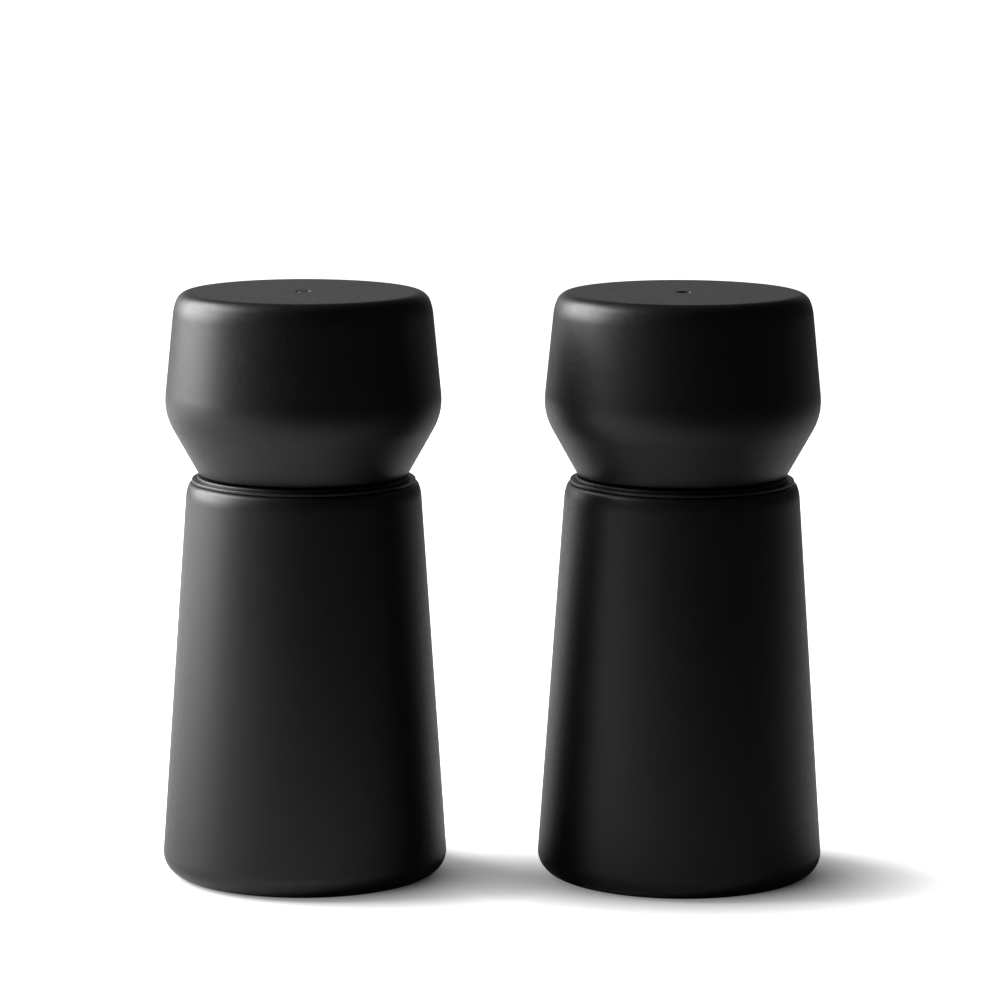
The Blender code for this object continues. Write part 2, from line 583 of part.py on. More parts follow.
def make_grinder_housing(mill):
    """The tube that holds the grinder, with a flange below and a spoked bearing bridge above."""
    profile = [(HOPPER_RADIUS, HUB_TOP), (HOUSING_RADIUS, HUB_TOP), (HOUSING_RADIUS, FLANGE_TOP),
               (FLANGE_RADIUS, FLANGE_TOP), (FLANGE_RADIUS, FLANGE_GROUND), (HOUSING_BORE, FLANGE_GROUND),
               (HOUSING_BORE, RETAINER_BOTTOM - FIT), (RETAINER_GROOVE, RETAINER_BOTTOM - FIT),
               (RETAINER_GROOVE, RETAINER_TOP + FIT), (HOUSING_BORE, RETAINER_TOP + FIT),
               (HOUSING_BORE, RING_TOP + FIT), (LEDGE_RADIUS, RING_TOP + FIT),
               (LEDGE_RADIUS, LEDGE_TOP), (HOPPER_RADIUS, HOPPER_BOTTOM)]
    housing = add_turned(mill, "grinder_housing", profile, SLEEVE_STEPS, "grey_plastic")
    hub = prism("hub", SMALL_STEPS, HUB_RADIUS, HUB_BOTTOM, HUB_TOP)
    reach = (HOPPER_RADIUS + HOUSING_RADIUS) / 2
    for number in range(SPOKE_COUNT):
        spoke = bar("spoke", reach, SPOKE_WIDTH, HUB_BOTTOM + FIT, HUB_TOP - FIT,
                    2 * math.pi * number / SPOKE_COUNT)
        add_tool(mill, housing, f"spoke_{number + 1}", spoke, "UNION")
    add_tool(mill, housing, "hub", hub, "UNION")
    bore = prism("hub_bore", SMALL_STEPS, HUB_BORE, HUB_BOTTOM - CUT, HUB_TOP + CUT)
    add_tool(mill, housing, "hub_bore", bore, "DIFFERENCE")
    for number, (x, y) in enumerate(screw_places(), 1):
        hole = prism("hole", SCREW_STEPS, SCREW_HOLE, FLANGE_GROUND - CUT, FLANGE_TOP + CUT, x, y)
        sink = prism("sink", SCREW_STEPS, SCREW_HEAD_HOLE, FLANGE_GROUND - CUT, SCREW_HEAD_TOP + FIT, x, y)
        add_tool(mill, housing, f"hole_{number}", hole, "DIFFERENCE")
        add_tool(mill, housing, f"sink_{number}", sink, "DIFFERENCE")


def screw_places():
    """Returns the place of each housing screw, evenly round the flange from +Y."""
    angles = [math.pi / 2 + 2 * math.pi * number / SCREW_COUNT for number in range(SCREW_COUNT)]
    return [(SCREW_CIRCLE * math.cos(angle), SCREW_CIRCLE * math.sin(angle)) for angle in angles]


def make_housing_screws(mill):
    """The wood screws through the housing's flange, with a slot in each head."""
    profile = [(0.0, SCREW_TOP), (SCREW_RADIUS, SCREW_TOP - SCREW_RADIUS), (SCREW_RADIUS, SCREW_HEAD_TOP),
               (SCREW_HEAD_RADIUS, SCREW_HEAD_TOP), (SCREW_HEAD_RADIUS, SCREW_BOTTOM), (0.0, SCREW_BOTTOM)]
    for number, (x, y) in enumerate(screw_places(), 1):
        screw = add_turned(mill, f"housing_screw_{number}", profile, SCREW_STEPS, "steel", closed=False)
        screw.location = (x, y, 0.0)
        slot = bar("slot", 2 * (SCREW_HEAD_RADIUS + CUT), SLOT_WIDTH, SCREW_BOTTOM - CUT,
                   SCREW_BOTTOM + SLOT_DEPTH)
        slot.transform(Matrix.Translation((x - SCREW_HEAD_RADIUS - CUT, y, 0.0)))
        add_tool(mill, screw, "slot", slot, "DIFFERENCE")


def make_adjust_knob(mill):
    """The fluted nut on the thread, which lifts the rotor for a finer grind."""
    levels = [(KNOB_GROUND, KNOB_RADIUS, 0.0), (KNOB_TOP, KNOB_RADIUS, 0.0)]
    knob = add_part(mill, "adjust_knob", fluted("adjust_knob", KNOB_FLUTES, FLUTE_DEPTH, levels),
                    "black_plastic")
    bore = prism("thread_bore", SMALL_STEPS, THREAD_RADIUS + FIT, KNOB_GROUND - CUT, KNOB_TOP + CUT)
    add_tool(mill, knob, "thread_bore", bore, "DIFFERENCE")


def build_mill(name, x, ring_mark, parts, cutters):
    """Builds one mill round an empty that stands on its axis."""
    carrier = bpy.data.objects.new(f"{name}_mill", None)
    carrier.location = (x, 0.0, 0.0)
    parts.objects.link(carrier)
    mill = Mill(name, carrier, parts, cutters, ring_mark)
    for make in (make_body_shell, make_neck_collar, make_head_shell, make_head_insert, make_drive_shaft,
                 make_shaft_fittings, make_grinder_spring, make_rotor, make_outer_grinder,
                 make_grinder_housing, make_housing_screws, make_adjust_knob):
        make(mill)


def main():
    """Builds the pair, salt on the left and pepper on the right."""
    clear_scene()
    for name in FINISHES:
        make_material(name)
    parts, cutters = new_collection("salt_and_pepper_mills"), new_collection("cutters")
    build_mill("salt", -MILL_SPACING / 2, True, parts, cutters)
    build_mill("pepper", MILL_SPACING / 2, False, parts, cutters)
    bpy.context.view_layer.update()


main()
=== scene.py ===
"""The looks of a pair of hand mills: fine meshes, finishes, floor, light and camera.

Lengths are in metres. Each mesh is modelled round its own mill's axis and then set on that axis.
"""

import json
import math
from collections import namedtuple

import bmesh
import bpy
from mathutils import Matrix, Vector


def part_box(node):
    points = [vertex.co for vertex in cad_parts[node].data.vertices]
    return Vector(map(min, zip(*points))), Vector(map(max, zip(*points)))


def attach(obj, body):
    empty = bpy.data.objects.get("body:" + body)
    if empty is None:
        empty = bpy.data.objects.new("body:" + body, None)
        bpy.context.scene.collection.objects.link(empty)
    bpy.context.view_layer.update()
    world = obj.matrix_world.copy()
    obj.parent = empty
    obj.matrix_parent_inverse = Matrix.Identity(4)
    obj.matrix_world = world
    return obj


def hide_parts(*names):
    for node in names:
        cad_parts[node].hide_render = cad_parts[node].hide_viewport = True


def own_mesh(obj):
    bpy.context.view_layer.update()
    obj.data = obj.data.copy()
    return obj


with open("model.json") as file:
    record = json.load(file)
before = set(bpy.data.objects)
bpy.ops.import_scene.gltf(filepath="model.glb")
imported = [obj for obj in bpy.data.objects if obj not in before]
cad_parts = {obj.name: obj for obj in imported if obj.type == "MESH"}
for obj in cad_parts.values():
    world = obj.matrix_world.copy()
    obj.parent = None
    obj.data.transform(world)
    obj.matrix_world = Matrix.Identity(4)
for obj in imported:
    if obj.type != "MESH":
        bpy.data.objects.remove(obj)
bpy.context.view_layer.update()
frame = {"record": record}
RECORD = frame["record"]
BODY_OF = {node: body for body, nodes in RECORD["behaviour"]["bodies"].items() for node in nodes}
SLOT_OF = {part["node"]: part["material_slot"] for part in RECORD["subparts"]}

# Meshing
TURN_STEPS = 192                  # points round a shell
FINE_STEPS = 120                  # points round a small piece
PIN_STEPS = 60                    # points round a hole or a screw
ARC_STEP = math.radians(7)        # turn of an outline at each point of a rounded corner
ARC_LEAST = 4                     # least steps of a rounded corner
ROUND_SHARE = 0.8                 # most of an edge that a rounded corner may take
HOLD_SHARE = 0.08                 # flat stretch kept beside a rounded corner, as a share of its reach
CORNER_SHARE = 0.955              # how far the corner of a square or hexagonal section is cut back
SHARP_ANGLE = math.radians(32)
MERGE = 0.000001
FIT = 0.0003                      # room between pieces that fit together
CUT = 0.001                       # how far a cutting tool reaches past a face
BEVEL_STEPS = 3                   # steps of a bar's rounded edge
SQUARE = 4                        # sides of a section
HEXAGON = 6
BARE = 1                          # number of a shell's second finish, on its inner faces

# Outline of the body
BASE_RADIUS = 0.030052
BASE_ROUND = 0.0045
SHOULDER_RADIUS = 0.0237
SHOULDER_ROUND = 0.00125
BREAST_RADIUS = 0.024438          # second corner of the shoulder, which runs out into the wall
BREAST_DROP = 0.00203
BREAST_ROUND = 0.008
RECESS_RADIUS = 0.023763
RECESS_TOP = 0.0045
CHAMBER_RADIUS = 0.018563
COLLAR_SEAT = 0.020513
NECK_DROP = 0.00035               # how far the shoulder lies below the solid's top
EDGE = 0.0003                     # small rounding of inner and moulded edges
SOFT_EDGE = 2 * EDGE
FINE_EDGE = EDGE / 2

# Neck collar
COLLAR_RADIUS = 0.020213
COLLAR_BORE = 0.017013
LIP_DROP = 0.0002                 # how far the lip lies below the solid's top
LIP_HEIGHT = 0.0012
LIP_RADIUS = 0.0233               # lower step of the lip, which covers the body's top
BEAD_RADIUS = 0.02215             # upper step of the lip
BEAD_HEIGHT = 0.00057
BEAD_ROUND = 0.00025

# Outline of the head
FOOT_DROP = 0.00024               # how far the head's foot hangs below the solid's bottom
HEAD_FOOT_RADIUS = 0.021879
HEAD_FOOT_ROUND = 0.0003
RIDGE_RADIUS = 0.028993
RIDGE_RISE = 0.01247
RIDGE_ROUND = 0.012
TOP_DROP = 0.00016                # how far the flat top lies below the solid's top
TOP_RADIUS = 0.025616
TOP_ROUND = 0.0029
BROW_RADIUS = 0.02683             # second corner of the top's edge, which runs out into the wall
BROW_DROP = 0.003336
BROW_ROUND = 0.01
HEAD_BORE = 0.010967
HEAD_BORE_DEPTH = 0.027
MARK_RADIUS = 0.00165
MARK_LINE = 0.0006
MARK_DEPTH = 0.0003
MARK_ROUND = 0.00012

# Head insert and grip ring
INSERT_RADIUS = 0.010667
SPIGOT_LENGTH = 0.007
SKIRT_BORE = 0.014713
SPIGOT_HUB = 0.006867
SPIGOT_FLOOR = 0.0018
SOCKET_FLAT = 0.0033
SOCKET_MOUTH = 0.0041
SOCKET_LEAD = 0.0009
GRIP_RECESS = 0.007243
GRIP_DEPTH = 0.0026
WEB_COUNT = 6
WEB_THICKNESS = 0.0011
WEB_SETBACK = 0.0012
GRIP_OPENING = 0.003
GRIP_BORE = 0.004543

# Drive shaft
SHAFT_FLAT = 0.003
SHAFT_TIP = 0.0007
FLANGE_TOP = 0.0356
FLANGE_BOTTOM = 0.034
JOURNAL_RADIUS = 0.0034
GROOVE_RADIUS = 0.0026
LOWER_FLAT = 0.0021213
LOWER_BOTTOM = 0.01055
THREAD_RADIUS = 0.0017213
THREAD_DEPTH = 0.00032
THREAD_PITCH = 0.001
THREAD_RINGS = 12                 # rings of points along one turn of the thread
THREAD_PLAY = 0.00012
THREAD_ROOT = 0.2                 # share of a half turn that is flat at the root
THREAD_FLANK = 0.6                # share of a half turn that rises to the crest

# Small fittings
CLIP_OPENING = 0.0036
CLIP_REACH = 0.0016               # from the journal to the clip's outside
CLIP_LUGS = 3
CLIP_LUG = math.radians(18)
CLIP_RELIEF = 0.0008              # how far the clip stands off the groove between its lugs
BUSH_BORE = 0.0037
BUSH_RADIUS = 0.0049
WASHER_BORE = 0.0037
SPRING_WIRE = 0.0008
SPRING_RADIUS = 0.0041
SPRING_TURNS = 5
SPRING_DEAD_TURNS = 0.9           # closed turns at each end
SPRING_DEAD_RISE = 1.06           # rise of a closed turn, in wires
SPRING_STEPS = 30                 # rings of points along one turn
WIRE_STEPS = 12

# Grinder
TOOTH_COUNT = 20
TOOTH_STEPS = 12
TOOTH_DEPTH = 0.0008
TOOTH_LAND = 0.14                 # flat share of a tooth's crest
CONE_TOP_RADIUS = 0.008217
CONE_TWIST = math.radians(14)
CONE_LEVELS = 9
CONE_HEX_FLAT = 0.005124
CARRIER_HEX_FLAT = 0.004824
CARRIER_HOLE_FLAT = 0.0024213
CARRIER_FLANGE_HEIGHT = 0.0015
RING_MOUTH = 0.014163
RING_THROAT = 0.012456
THROAT_RISE = 0.0035
RETAINER_BORE = 0.013663
RETAINER_OPENING = 0.006
EAR_DEPTH = 0.0019
EAR_TURN = math.radians(13)
EAR_SLOPE = 0.3                   # share of an ear's turn over which it rises
EAR_HOLE = 0.00065
EAR_HOLE_TURN = 0.42              # place of an ear's hole, as shares of the ear's turn and depth
EAR_HOLE_DEPTH = 0.35

# Housing and its screws
HOUSING_RADIUS = 0.018263
HOUSING_BORE = 0.015563
HOPPER_RADIUS = 0.016863
LEDGE_RADIUS = 0.014063
LEDGE_BOTTOM = 0.0198
LEDGE_TOP = 0.0213
GROOVE_WALL = 0.016463
FLANGE_THICKNESS = 0.0026
HUB_RADIUS = 0.007
HUB_BORE = 0.0052
HUB_HEIGHT = 0.004
SPOKE_COUNT = 3
SPOKE_WIDTH = 0.003
UNDER_GROOVE_INNER = 0.0172
UNDER_GROOVE_OUTER = 0.0184
UNDER_GROOVE_DEPTH = 0.0005
SCREW_HOLE = 0.0012
SCREW_SINK = 0.0019
SCREW_HEAD_HEIGHT = 0.0012
SCREW_SHANK = 0.0009
SCREW_CORE = 0.00062
SCREW_PITCH = 0.0009
SCREW_TAPER = 0.8                 # share of the core at the start of the point
SLOT_WIDTH = 0.0005
SLOT_DEPTH = 0.0006

# Adjusting knob
KNOB_FLUTES = 14
KNOB_STEPS = 12
KNOB_ARC_STEPS = 6                # steps of the knob's rounded edges
FLUTE_DEPTH = 0.0009
KNOB_EDGE = 0.0007
KNOB_DISH = 0.0005
KNOB_DISH_INNER = 0.0034
KNOB_DISH_OUTER = 0.0064

# Finishes, with shades from dark to light
NOISE_USED = (0.3, 0.7)           # stretch of a noise that a colour or a roughness follows
LACQUER_SHADES = ((0.0052, 0.0052, 0.0054), (0.0074, 0.0074, 0.0076))
BEECH_SHADES = ((0.30, 0.175, 0.085), (0.44, 0.285, 0.155), (0.53, 0.365, 0.215))
BEECH_PLACES = (0.25, 0.5, 0.78)  # of the shades along the grain's noise
COLLAR_SHADES = ((0.007, 0.007, 0.0075), (0.011, 0.011, 0.0115))
GREY_SHADES = ((0.138, 0.138, 0.143), (0.15, 0.15, 0.155))
KNOB_SHADES = ((0.011, 0.011, 0.012), (0.017, 0.017, 0.018))
BUSH_SHADES = ((0.62, 0.61, 0.58), (0.70, 0.69, 0.66))
PLASTIC_SPREAD = (-0.05, 0.06)    # how far a plastic's roughness strays
ALUMINIUM_SHADES = ((0.66, 0.665, 0.675), (0.80, 0.805, 0.81))
STEEL_SHADES = ((0.50, 0.505, 0.515), (0.63, 0.635, 0.64))
CERAMIC_SHADES = ((0.60, 0.56, 0.49), (0.74, 0.71, 0.65), (0.80, 0.77, 0.71))
CERAMIC_PLACES = (0.28, 0.42, 0.75)
RUBBER_SHADES = ((0.014, 0.014, 0.014), (0.026, 0.026, 0.025))
WAVE_RATE = 20.0                  # turn of a wave texture over one unit, in radians

# Floor, with a glow for the camera alone that makes it plain white and fades near each mill into a painted
# shadow over the real one
FLOOR_RADIUS = 5.0
FLOOR_STEPS = 96
FLOOR_DROP = 0.00005
FLOOR_SHADE = 0.8
PAINTED_SHADOW_CENTRE = (0.0029, -0.0039)  # of the painted shadow that the camera sees, from a mill's axis
PAINTED_SHADOW_SQUEEZE = (1.0, 1.3, 1.0)  # how much narrower the painted shadow is along each axis
PAINTED_SHADOW_REACH = (0.0235, 0.053)    # from its centre, where the painted shadow is whole and where it ends
PAINTED_SHADOW_LIFT = 0.035               # glow that the camera sees in the deepest part of the painted shadow
CARD_SHADE = 0.12                 # shade of the dark card on the floor, out of the picture
CARD_SIDE = (0.6, -0.8, 0.0)      # towards the card, before the mills and to the right
CARD_REACH = (0.04, 0.3)          # along that side, where the card begins and where it is whole

# Studio light
ROOM_DIM = 0.042                  # strength of the room on all sides
ROOM_PALE = 0.6                   # further strength of the pale backdrop
ROOM_SIDE = (-0.38, 0.925, 0.0)   # towards the pale side, behind the mills and to the left
ROOM_REACH = (0.5, 1.05)          # along that side, from the dim room to the pale backdrop
BACKDROP_RISE = (0.22, 0.46)      # height of the backdrop's soft top edge, as the sine of its angle
SOFTBOX_TURN = math.radians(163)  # from +X towards +Y
SOFTBOX_RISE = math.radians(24.5)
SOFTBOX_DISTANCE = 0.9
SOFTBOX_TARGET = (0.0, 0.0, 0.08)
SOFTBOX_WIDTH = 0.82
SOFTBOX_HEIGHT = 0.72
SOFTBOX_POWER = 21.5

# Camera, fitted to the outlines of both mills
IMAGE_SIDE = 984
FOCAL_PIXELS = 4751.7
SENSOR = 36.0
CAMERA_PLACE = (-0.00019, -0.97794, 0.22983)
CAMERA_PITCH = math.radians(8.68)
CAMERA_ROLL = math.radians(0.14)
CAMERA_CLIP = (0.01, 50.0)

Mill = namedtuple("Mill", "name x ring_mark")
Span = namedtuple("Span", "radius low high")
Corner = namedtuple("Corner", "radius height round sides finish", defaults=(0.0, 0, 0))


def span(mill, node):
    """Returns the half width, lowest and highest level of a solid."""
    low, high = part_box(f"{mill.name}_{node}")
    return Span((high.x - low.x) / 2, low.z, high.z)


# Meshes


def polygon(sides, flat):
    """Returns the reach of a regular section with slightly cut corners, whose first flat faces +X."""
    part = 2 * math.pi / sides
    limit = flat / math.cos(part / 2) * CORNER_SHARE

    def reach(angle):
        turn = (angle + part / 2) % part - part / 2
        return min(flat / math.cos(turn), limit)
    return reach


def toothed(count, crest, depth, turn=0.0):
    """Returns the reach of a section with pointed teeth, with one crest at the given turn."""
    def reach(angle):
        place = ((angle - turn) * count / (2 * math.pi) + 0.5) % 1.0 - 0.5
        fall = max(0.0, abs(place) * 2 - TOOTH_LAND) / (1 - TOOTH_LAND)
        return crest - depth * fall
    return reach


def threaded(core, depth, pitch, height):
    """Returns the reach of a right-hand thread at one height."""
    def reach(angle):
        phase = (height / pitch - angle / (2 * math.pi)) % 1.0
        rise = 1 - abs(2 * phase - 1)
        return core + depth * min(1.0, max(0.0, (rise - THREAD_ROOT) / THREAD_FLANK))
    return reach


def reach_at(reach, angle):
    """Returns the radius at an angle of a reach, which is a radius or a function of the angle."""
    return reach(angle) if callable(reach) else reach


def ring(height, reach, count):
    """Returns a ring of points at one height."""
    points = []
    for number in range(count):
        angle = 2 * math.pi * number / count
        radius = reach_at(reach, angle)
        points.append((radius * math.cos(angle), radius * math.sin(angle), height))
    return points


def softened(corners, closed=True):
    """Returns the corners of an outline, with those that have a rounding replaced by arcs."""
    points = []
    for before, corner, after in zip(corners[-1:] + corners[:-1], corners, corners[1:] + corners[:1]):
        end = not closed and (corner is corners[0] or corner is corners[-1])
        if corner.round == 0.0 or end:
            points.append(corner)
            continue
        place = Vector((corner.radius, corner.height))
        back = Vector((before.radius, before.height)) - place
        ahead = Vector((after.radius, after.height)) - place
        half = back.angle(ahead) / 2
        reach = min(corner.round / math.tan(half), ROUND_SHARE * back.length, ROUND_SHARE * ahead.length)
        back, ahead = back.normalized(), ahead.normalized()
        radius = reach * math.tan(half)
        centre = place + (back + ahead).normalized() * radius / math.sin(half)
        start, stop = place + back * reach - centre, place + ahead * reach - centre
        sweep = math.pi - 2 * half
        if start.x * stop.y - start.y * stop.x < 0:
            sweep = -sweep
        steps = max(ARC_LEAST, math.ceil(abs(sweep) / ARC_STEP))
        arc = [centre + Matrix.Rotation(sweep * step / steps, 2) @ start for step in range(steps + 1)]
        hold = reach * HOLD_SHARE
        for point in [arc[0] + back * hold, *arc, arc[-1] + ahead * hold]:
            points.append(corner._replace(radius=point.x, height=point.y))
    return points


def outline_rings(corners, count, closed=True):
    """Returns the rings of a turned outline, round or with flat sides, and the finish after each ring."""
    points = softened(corners, closed)
    rings = []
    for point in points:
        reach = polygon(point.sides, point.radius) if point.sides else point.radius
        rings.append(ring(point.height, reach, count))
    return rings, [point.finish for point in points]


def skinned(rings, closed=True, finishes=None):
    """Returns a mesh through rings of points; an open run gets a cap at each end that isn't a point."""
    mesh = bpy.data.meshes.new("skin")
    bm = bmesh.new()
    rows = [[bm.verts.new(point) for point in points] for points in rings]
    followers = rows[1:] + rows[:1] if closed else rows[1:]
    for number, (row, follower) in enumerate(zip(rows, followers)):
        for side in range(len(row)):
            face = bm.faces.new((row[side - 1], row[side], follower[side], follower[side - 1]))
            face.material_index = finishes[number] if finishes else 0
    if not closed:
        for row in (rows[0], rows[-1]):
            if (row[0].co - row[len(row) // 2].co).length > MERGE:
                bm.faces.new(row)
    bmesh.ops.remove_doubles(bm, verts=bm.verts[:], dist=MERGE)
    bmesh.ops.recalc_face_normals(bm, faces=bm.faces[:])
    bm.to_mesh(mesh)
    bm.free()
    return mesh


def turned(corners, count=FINE_STEPS, closed=True):
    """Returns a mesh of an outline of corners turned round the axis."""
    rings, finishes = outline_rings(corners, count, closed)
    return skinned(rings, closed, finishes)


def tube(inner, outer, low, high, edge=EDGE):
    """Returns the outline of a ring with rounded edges."""
    places = [(inner, high), (outer, high), (outer, low), (inner, low)]
    return [Corner(radius, height, edge) for radius, height in places]


def split_ring(inner, outer, low, high, opening, edge):
    """Returns a mesh of a ring with an opening at +X; inner may be a function of the angle."""
    start = math.asin(opening / 2 / outer)
    sections = []
    for number in range(FINE_STEPS + 1):
        angle = start + (2 * math.pi - 2 * start) * number / FINE_STEPS
        outline = softened(tube(reach_at(inner, angle), outer, low, high, edge))
        direction = Vector((math.cos(angle), math.sin(angle), 0.0))
        sections.append([direction * point.radius + Vector((0.0, 0.0, point.height)) for point in outline])
    return skinned(sections, closed=False)


def block(start, end, width, low, high, turn, edge=EDGE):
    """Returns a mesh of a bar with rounded edges that runs outwards along a turned line."""
    mesh = bpy.data.meshes.new("block")
    bm = bmesh.new()
    place = Matrix.Rotation(turn, 4, "Z") @ Matrix.Translation(((start + end) / 2, 0.0, (low + high) / 2))
    stretch = Matrix.Diagonal((end - start, width, high - low, 1.0))
    bmesh.ops.create_cube(bm, size=1.0, matrix=place @ stretch)
    if edge:
        bmesh.ops.bevel(bm, geom=bm.edges[:], offset=edge, segments=BEVEL_STEPS, profile=0.5,
                        affect="EDGES")
    bm.to_mesh(mesh)
    bm.free()
    return mesh


def pin(radius, low, high, x=0.0, y=0.0):
    """Returns a mesh of a plain round tool for cutting holes."""
    mesh = skinned([ring(high, radius, PIN_STEPS), ring(low, radius, PIN_STEPS)], closed=False)
    mesh.transform(Matrix.Translation((x, y, 0.0)))
    return mesh


def combined(mesh, tools, operation):
    """Returns the mesh after a Boolean operation with each tool mesh in turn."""
    objects = [bpy.data.objects.new("work", part) for part in [mesh, *tools]]
    for obj in objects:
        bpy.context.scene.collection.objects.link(obj)
    for tool in objects[1:]:
        modifier = objects[0].modifiers.new("Boolean", "BOOLEAN")
        modifier.operation = operation
        modifier.object = tool
    graph = bpy.context.evaluated_depsgraph_get()
    result = bpy.data.meshes.new_from_object(objects[0].evaluated_get(graph))
    for obj in objects:
        bpy.data.objects.remove(obj)
    return result


# Finishes


def node_maker(tree):
    """Returns a function that adds a node to a tree and sets its inputs by name."""
    def add(kind, operation=None, **inputs):
        node = tree.nodes.new(kind)
        if operation:
            node.operation = operation
        for name, value in inputs.items():
            node.inputs[name.replace("_", " ")].default_value = value
        return node
    return add


def ramp_maker(tree):
    """Returns a function that maps a value from one range to another."""
    def ramp(value, source, target, kind="SMOOTHSTEP"):
        node = tree.nodes.new("ShaderNodeMapRange")
        node.interpolation_type = kind
        for name, number in zip(("From Min", "From Max", "To Min", "To Max"), (*source, *target)):
            node.inputs[name].default_value = number
        tree.links.new(value, node.inputs["Value"])
        return node.outputs["Result"]
    return ramp


class Finish:
    """A material whose colour, roughness and surface come from textures in the piece's own space."""

    def __init__(self, name, metallic=0.0, specular=0.5):
        self.material = bpy.data.materials.new(name)
        self.material.use_nodes = True
        tree = self.material.node_tree
        self.add, self.ramp, self.link = node_maker(tree), ramp_maker(tree), tree.links.new
        self.shader = tree.nodes["Principled BSDF"]
        self.shader.inputs["Metallic"].default_value = metallic
        self.shader.inputs["Specular IOR Level"].default_value = specular
        self.place = self.add("ShaderNodeTexCoord").outputs["Object"]
        self.normal = None

    def noise(self, scale, detail=3.0, stretch=(1.0, 1.0, 1.0), distortion=0.0):
        """Returns a noise value; scale is in features per metre, and stretch widens them along an axis."""
        mapping = self.add("ShaderNodeMapping", Scale=[1.0 / value for value in stretch])
        self.link(self.place, mapping.inputs["Vector"])
        texture = self.add("ShaderNodeTexNoise", Scale=scale, Detail=detail, Distortion=distortion)
        self.link(mapping.outputs["Vector"], texture.inputs["Vector"])
        return texture.outputs[0]

    def specks(self, scale):
        """Returns the distance to the nearest of many scattered points."""
        texture = self.add("ShaderNodeTexVoronoi", Scale=scale)
        self.link(self.place, texture.inputs["Vector"])
        return texture.outputs["Distance"]

    def rings(self, pitch, distortion):
        """Returns the value of turning marks, one at each pitch along the axis."""
        scale = 2 * math.pi / (WAVE_RATE * pitch)
        texture = self.add("ShaderNodeTexWave", Scale=scale, Distortion=distortion, Detail=2.0)
        texture.bands_direction = "Z"
        self.link(self.place, texture.inputs["Vector"])
        return texture.outputs["Fac"]

    def colour(self, value, shades, places=NOISE_USED):
        """Sets the base colour from a value, through shades at given places."""
        node = self.add("ShaderNodeValToRGB")
        elements = node.color_ramp.elements
        while len(elements) < len(shades):
            elements.new(0.5)
        for element, place, shade in zip(elements, places, shades):
            element.position = place
            element.color = (*shade, 1.0)
        self.link(value, node.inputs["Fac"])
        self.link(node.outputs["Color"], self.shader.inputs["Base Color"])

    def roughness(self, value, low, high):
        """Sets the roughness from a value."""
        self.link(self.ramp(value, NOISE_USED, (low, high), "LINEAR"), self.shader.inputs["Roughness"])

    def relief(self, value, depth):
        """Adds a relief of the given depth to the surface."""
        node = self.add("ShaderNodeBump", Strength=1.0, Distance=depth)
        self.link(value, node.inputs["Height"])
        if self.normal:
            self.link(self.normal, node.inputs["Normal"])
        self.normal = node.outputs["Normal"]
        self.link(self.normal, self.shader.inputs["Normal"])


def make_lacquer():
    """Matte black lacquer on turned wood: a fine sprayed surface over a trace of upright grain."""
    finish = Finish("black_lacquer", specular=0.45)
    finish.colour(finish.noise(scale=45.0, detail=4.0), LACQUER_SHADES)
    finish.roughness(finish.noise(scale=900.0, detail=5.0), low=0.38, high=0.46)
    finish.relief(finish.noise(scale=2600.0, detail=2.0), depth=0.000004)
    finish.relief(finish.noise(scale=2200.0, stretch=(1.0, 1.0, 26.0)), depth=0.000003)
    return finish.material


def make_beech():
    """Bare beech inside the bores: upright grain, short flecks and drilling marks."""
    finish = Finish("bare_beech", specular=0.3)
    grain = finish.noise(scale=420.0, detail=6.0, stretch=(1.0, 1.0, 22.0), distortion=0.4)
    finish.colour(grain, BEECH_SHADES, BEECH_PLACES)
    finish.roughness(grain, low=0.58, high=0.72)
    finish.relief(finish.noise(scale=1500.0, detail=4.0, stretch=(1.0, 1.0, 14.0)), depth=0.00005)
    finish.relief(finish.rings(pitch=0.00377, distortion=1.2), depth=0.00003)
    return finish.material


def make_plastic(name, shades, rough):
    """Moulded plastic with a fine eroded texture and faint flow in its colour."""
    finish = Finish(name)
    finish.colour(finish.noise(scale=260.0, detail=4.0, distortion=1.5), shades)
    below, above = PLASTIC_SPREAD
    finish.roughness(finish.noise(scale=3200.0, detail=4.0), low=rough + below, high=rough + above)
    finish.relief(finish.specks(scale=5200.0), depth=0.00001)
    return finish.material


def make_aluminium():
    """Drawn aluminium bar with fine lines along its length."""
    finish = Finish("drawn_aluminium", metallic=1.0)
    lines = finish.noise(scale=5200.0, detail=4.0, stretch=(1.0, 1.0, 90.0))
    finish.colour(lines, ALUMINIUM_SHADES)
    finish.roughness(lines, low=0.26, high=0.4)
    finish.relief(lines, depth=0.000006)
    return finish.material


def make_steel():
    """Bright spring steel with short scratches and a little dulling."""
    finish = Finish("spring_steel", metallic=1.0)
    marks = finish.noise(scale=3600.0, detail=5.0, stretch=(3.0, 3.0, 1.0))
    finish.colour(finish.noise(scale=700.0, detail=4.0), STEEL_SHADES)
    finish.roughness(marks, low=0.2, high=0.36)
    finish.relief(marks, depth=0.000004)
    return finish.material


def make_ceramic():
    """Unglazed fired ceramic with a sandy surface and sparse darker specks."""
    finish = Finish("fired_ceramic", specular=0.4)
    finish.colour(finish.noise(scale=2400.0, detail=6.0), CERAMIC_SHADES, CERAMIC_PLACES)
    finish.roughness(finish.noise(scale=3000.0), low=0.42, high=0.62)
    finish.relief(finish.noise(scale=7000.0), depth=0.000012)
    return finish.material


def make_rubber():
    """Black moulded rubber, dull and slightly mottled."""
    finish = Finish("black_rubber", specular=0.3)
    finish.colour(finish.noise(scale=900.0, detail=4.0), RUBBER_SHADES)
    finish.roughness(finish.noise(scale=2600.0, detail=4.0), low=0.66, high=0.82)
    finish.relief(finish.noise(scale=6000.0, detail=2.0), depth=0.000012)
    return finish.material


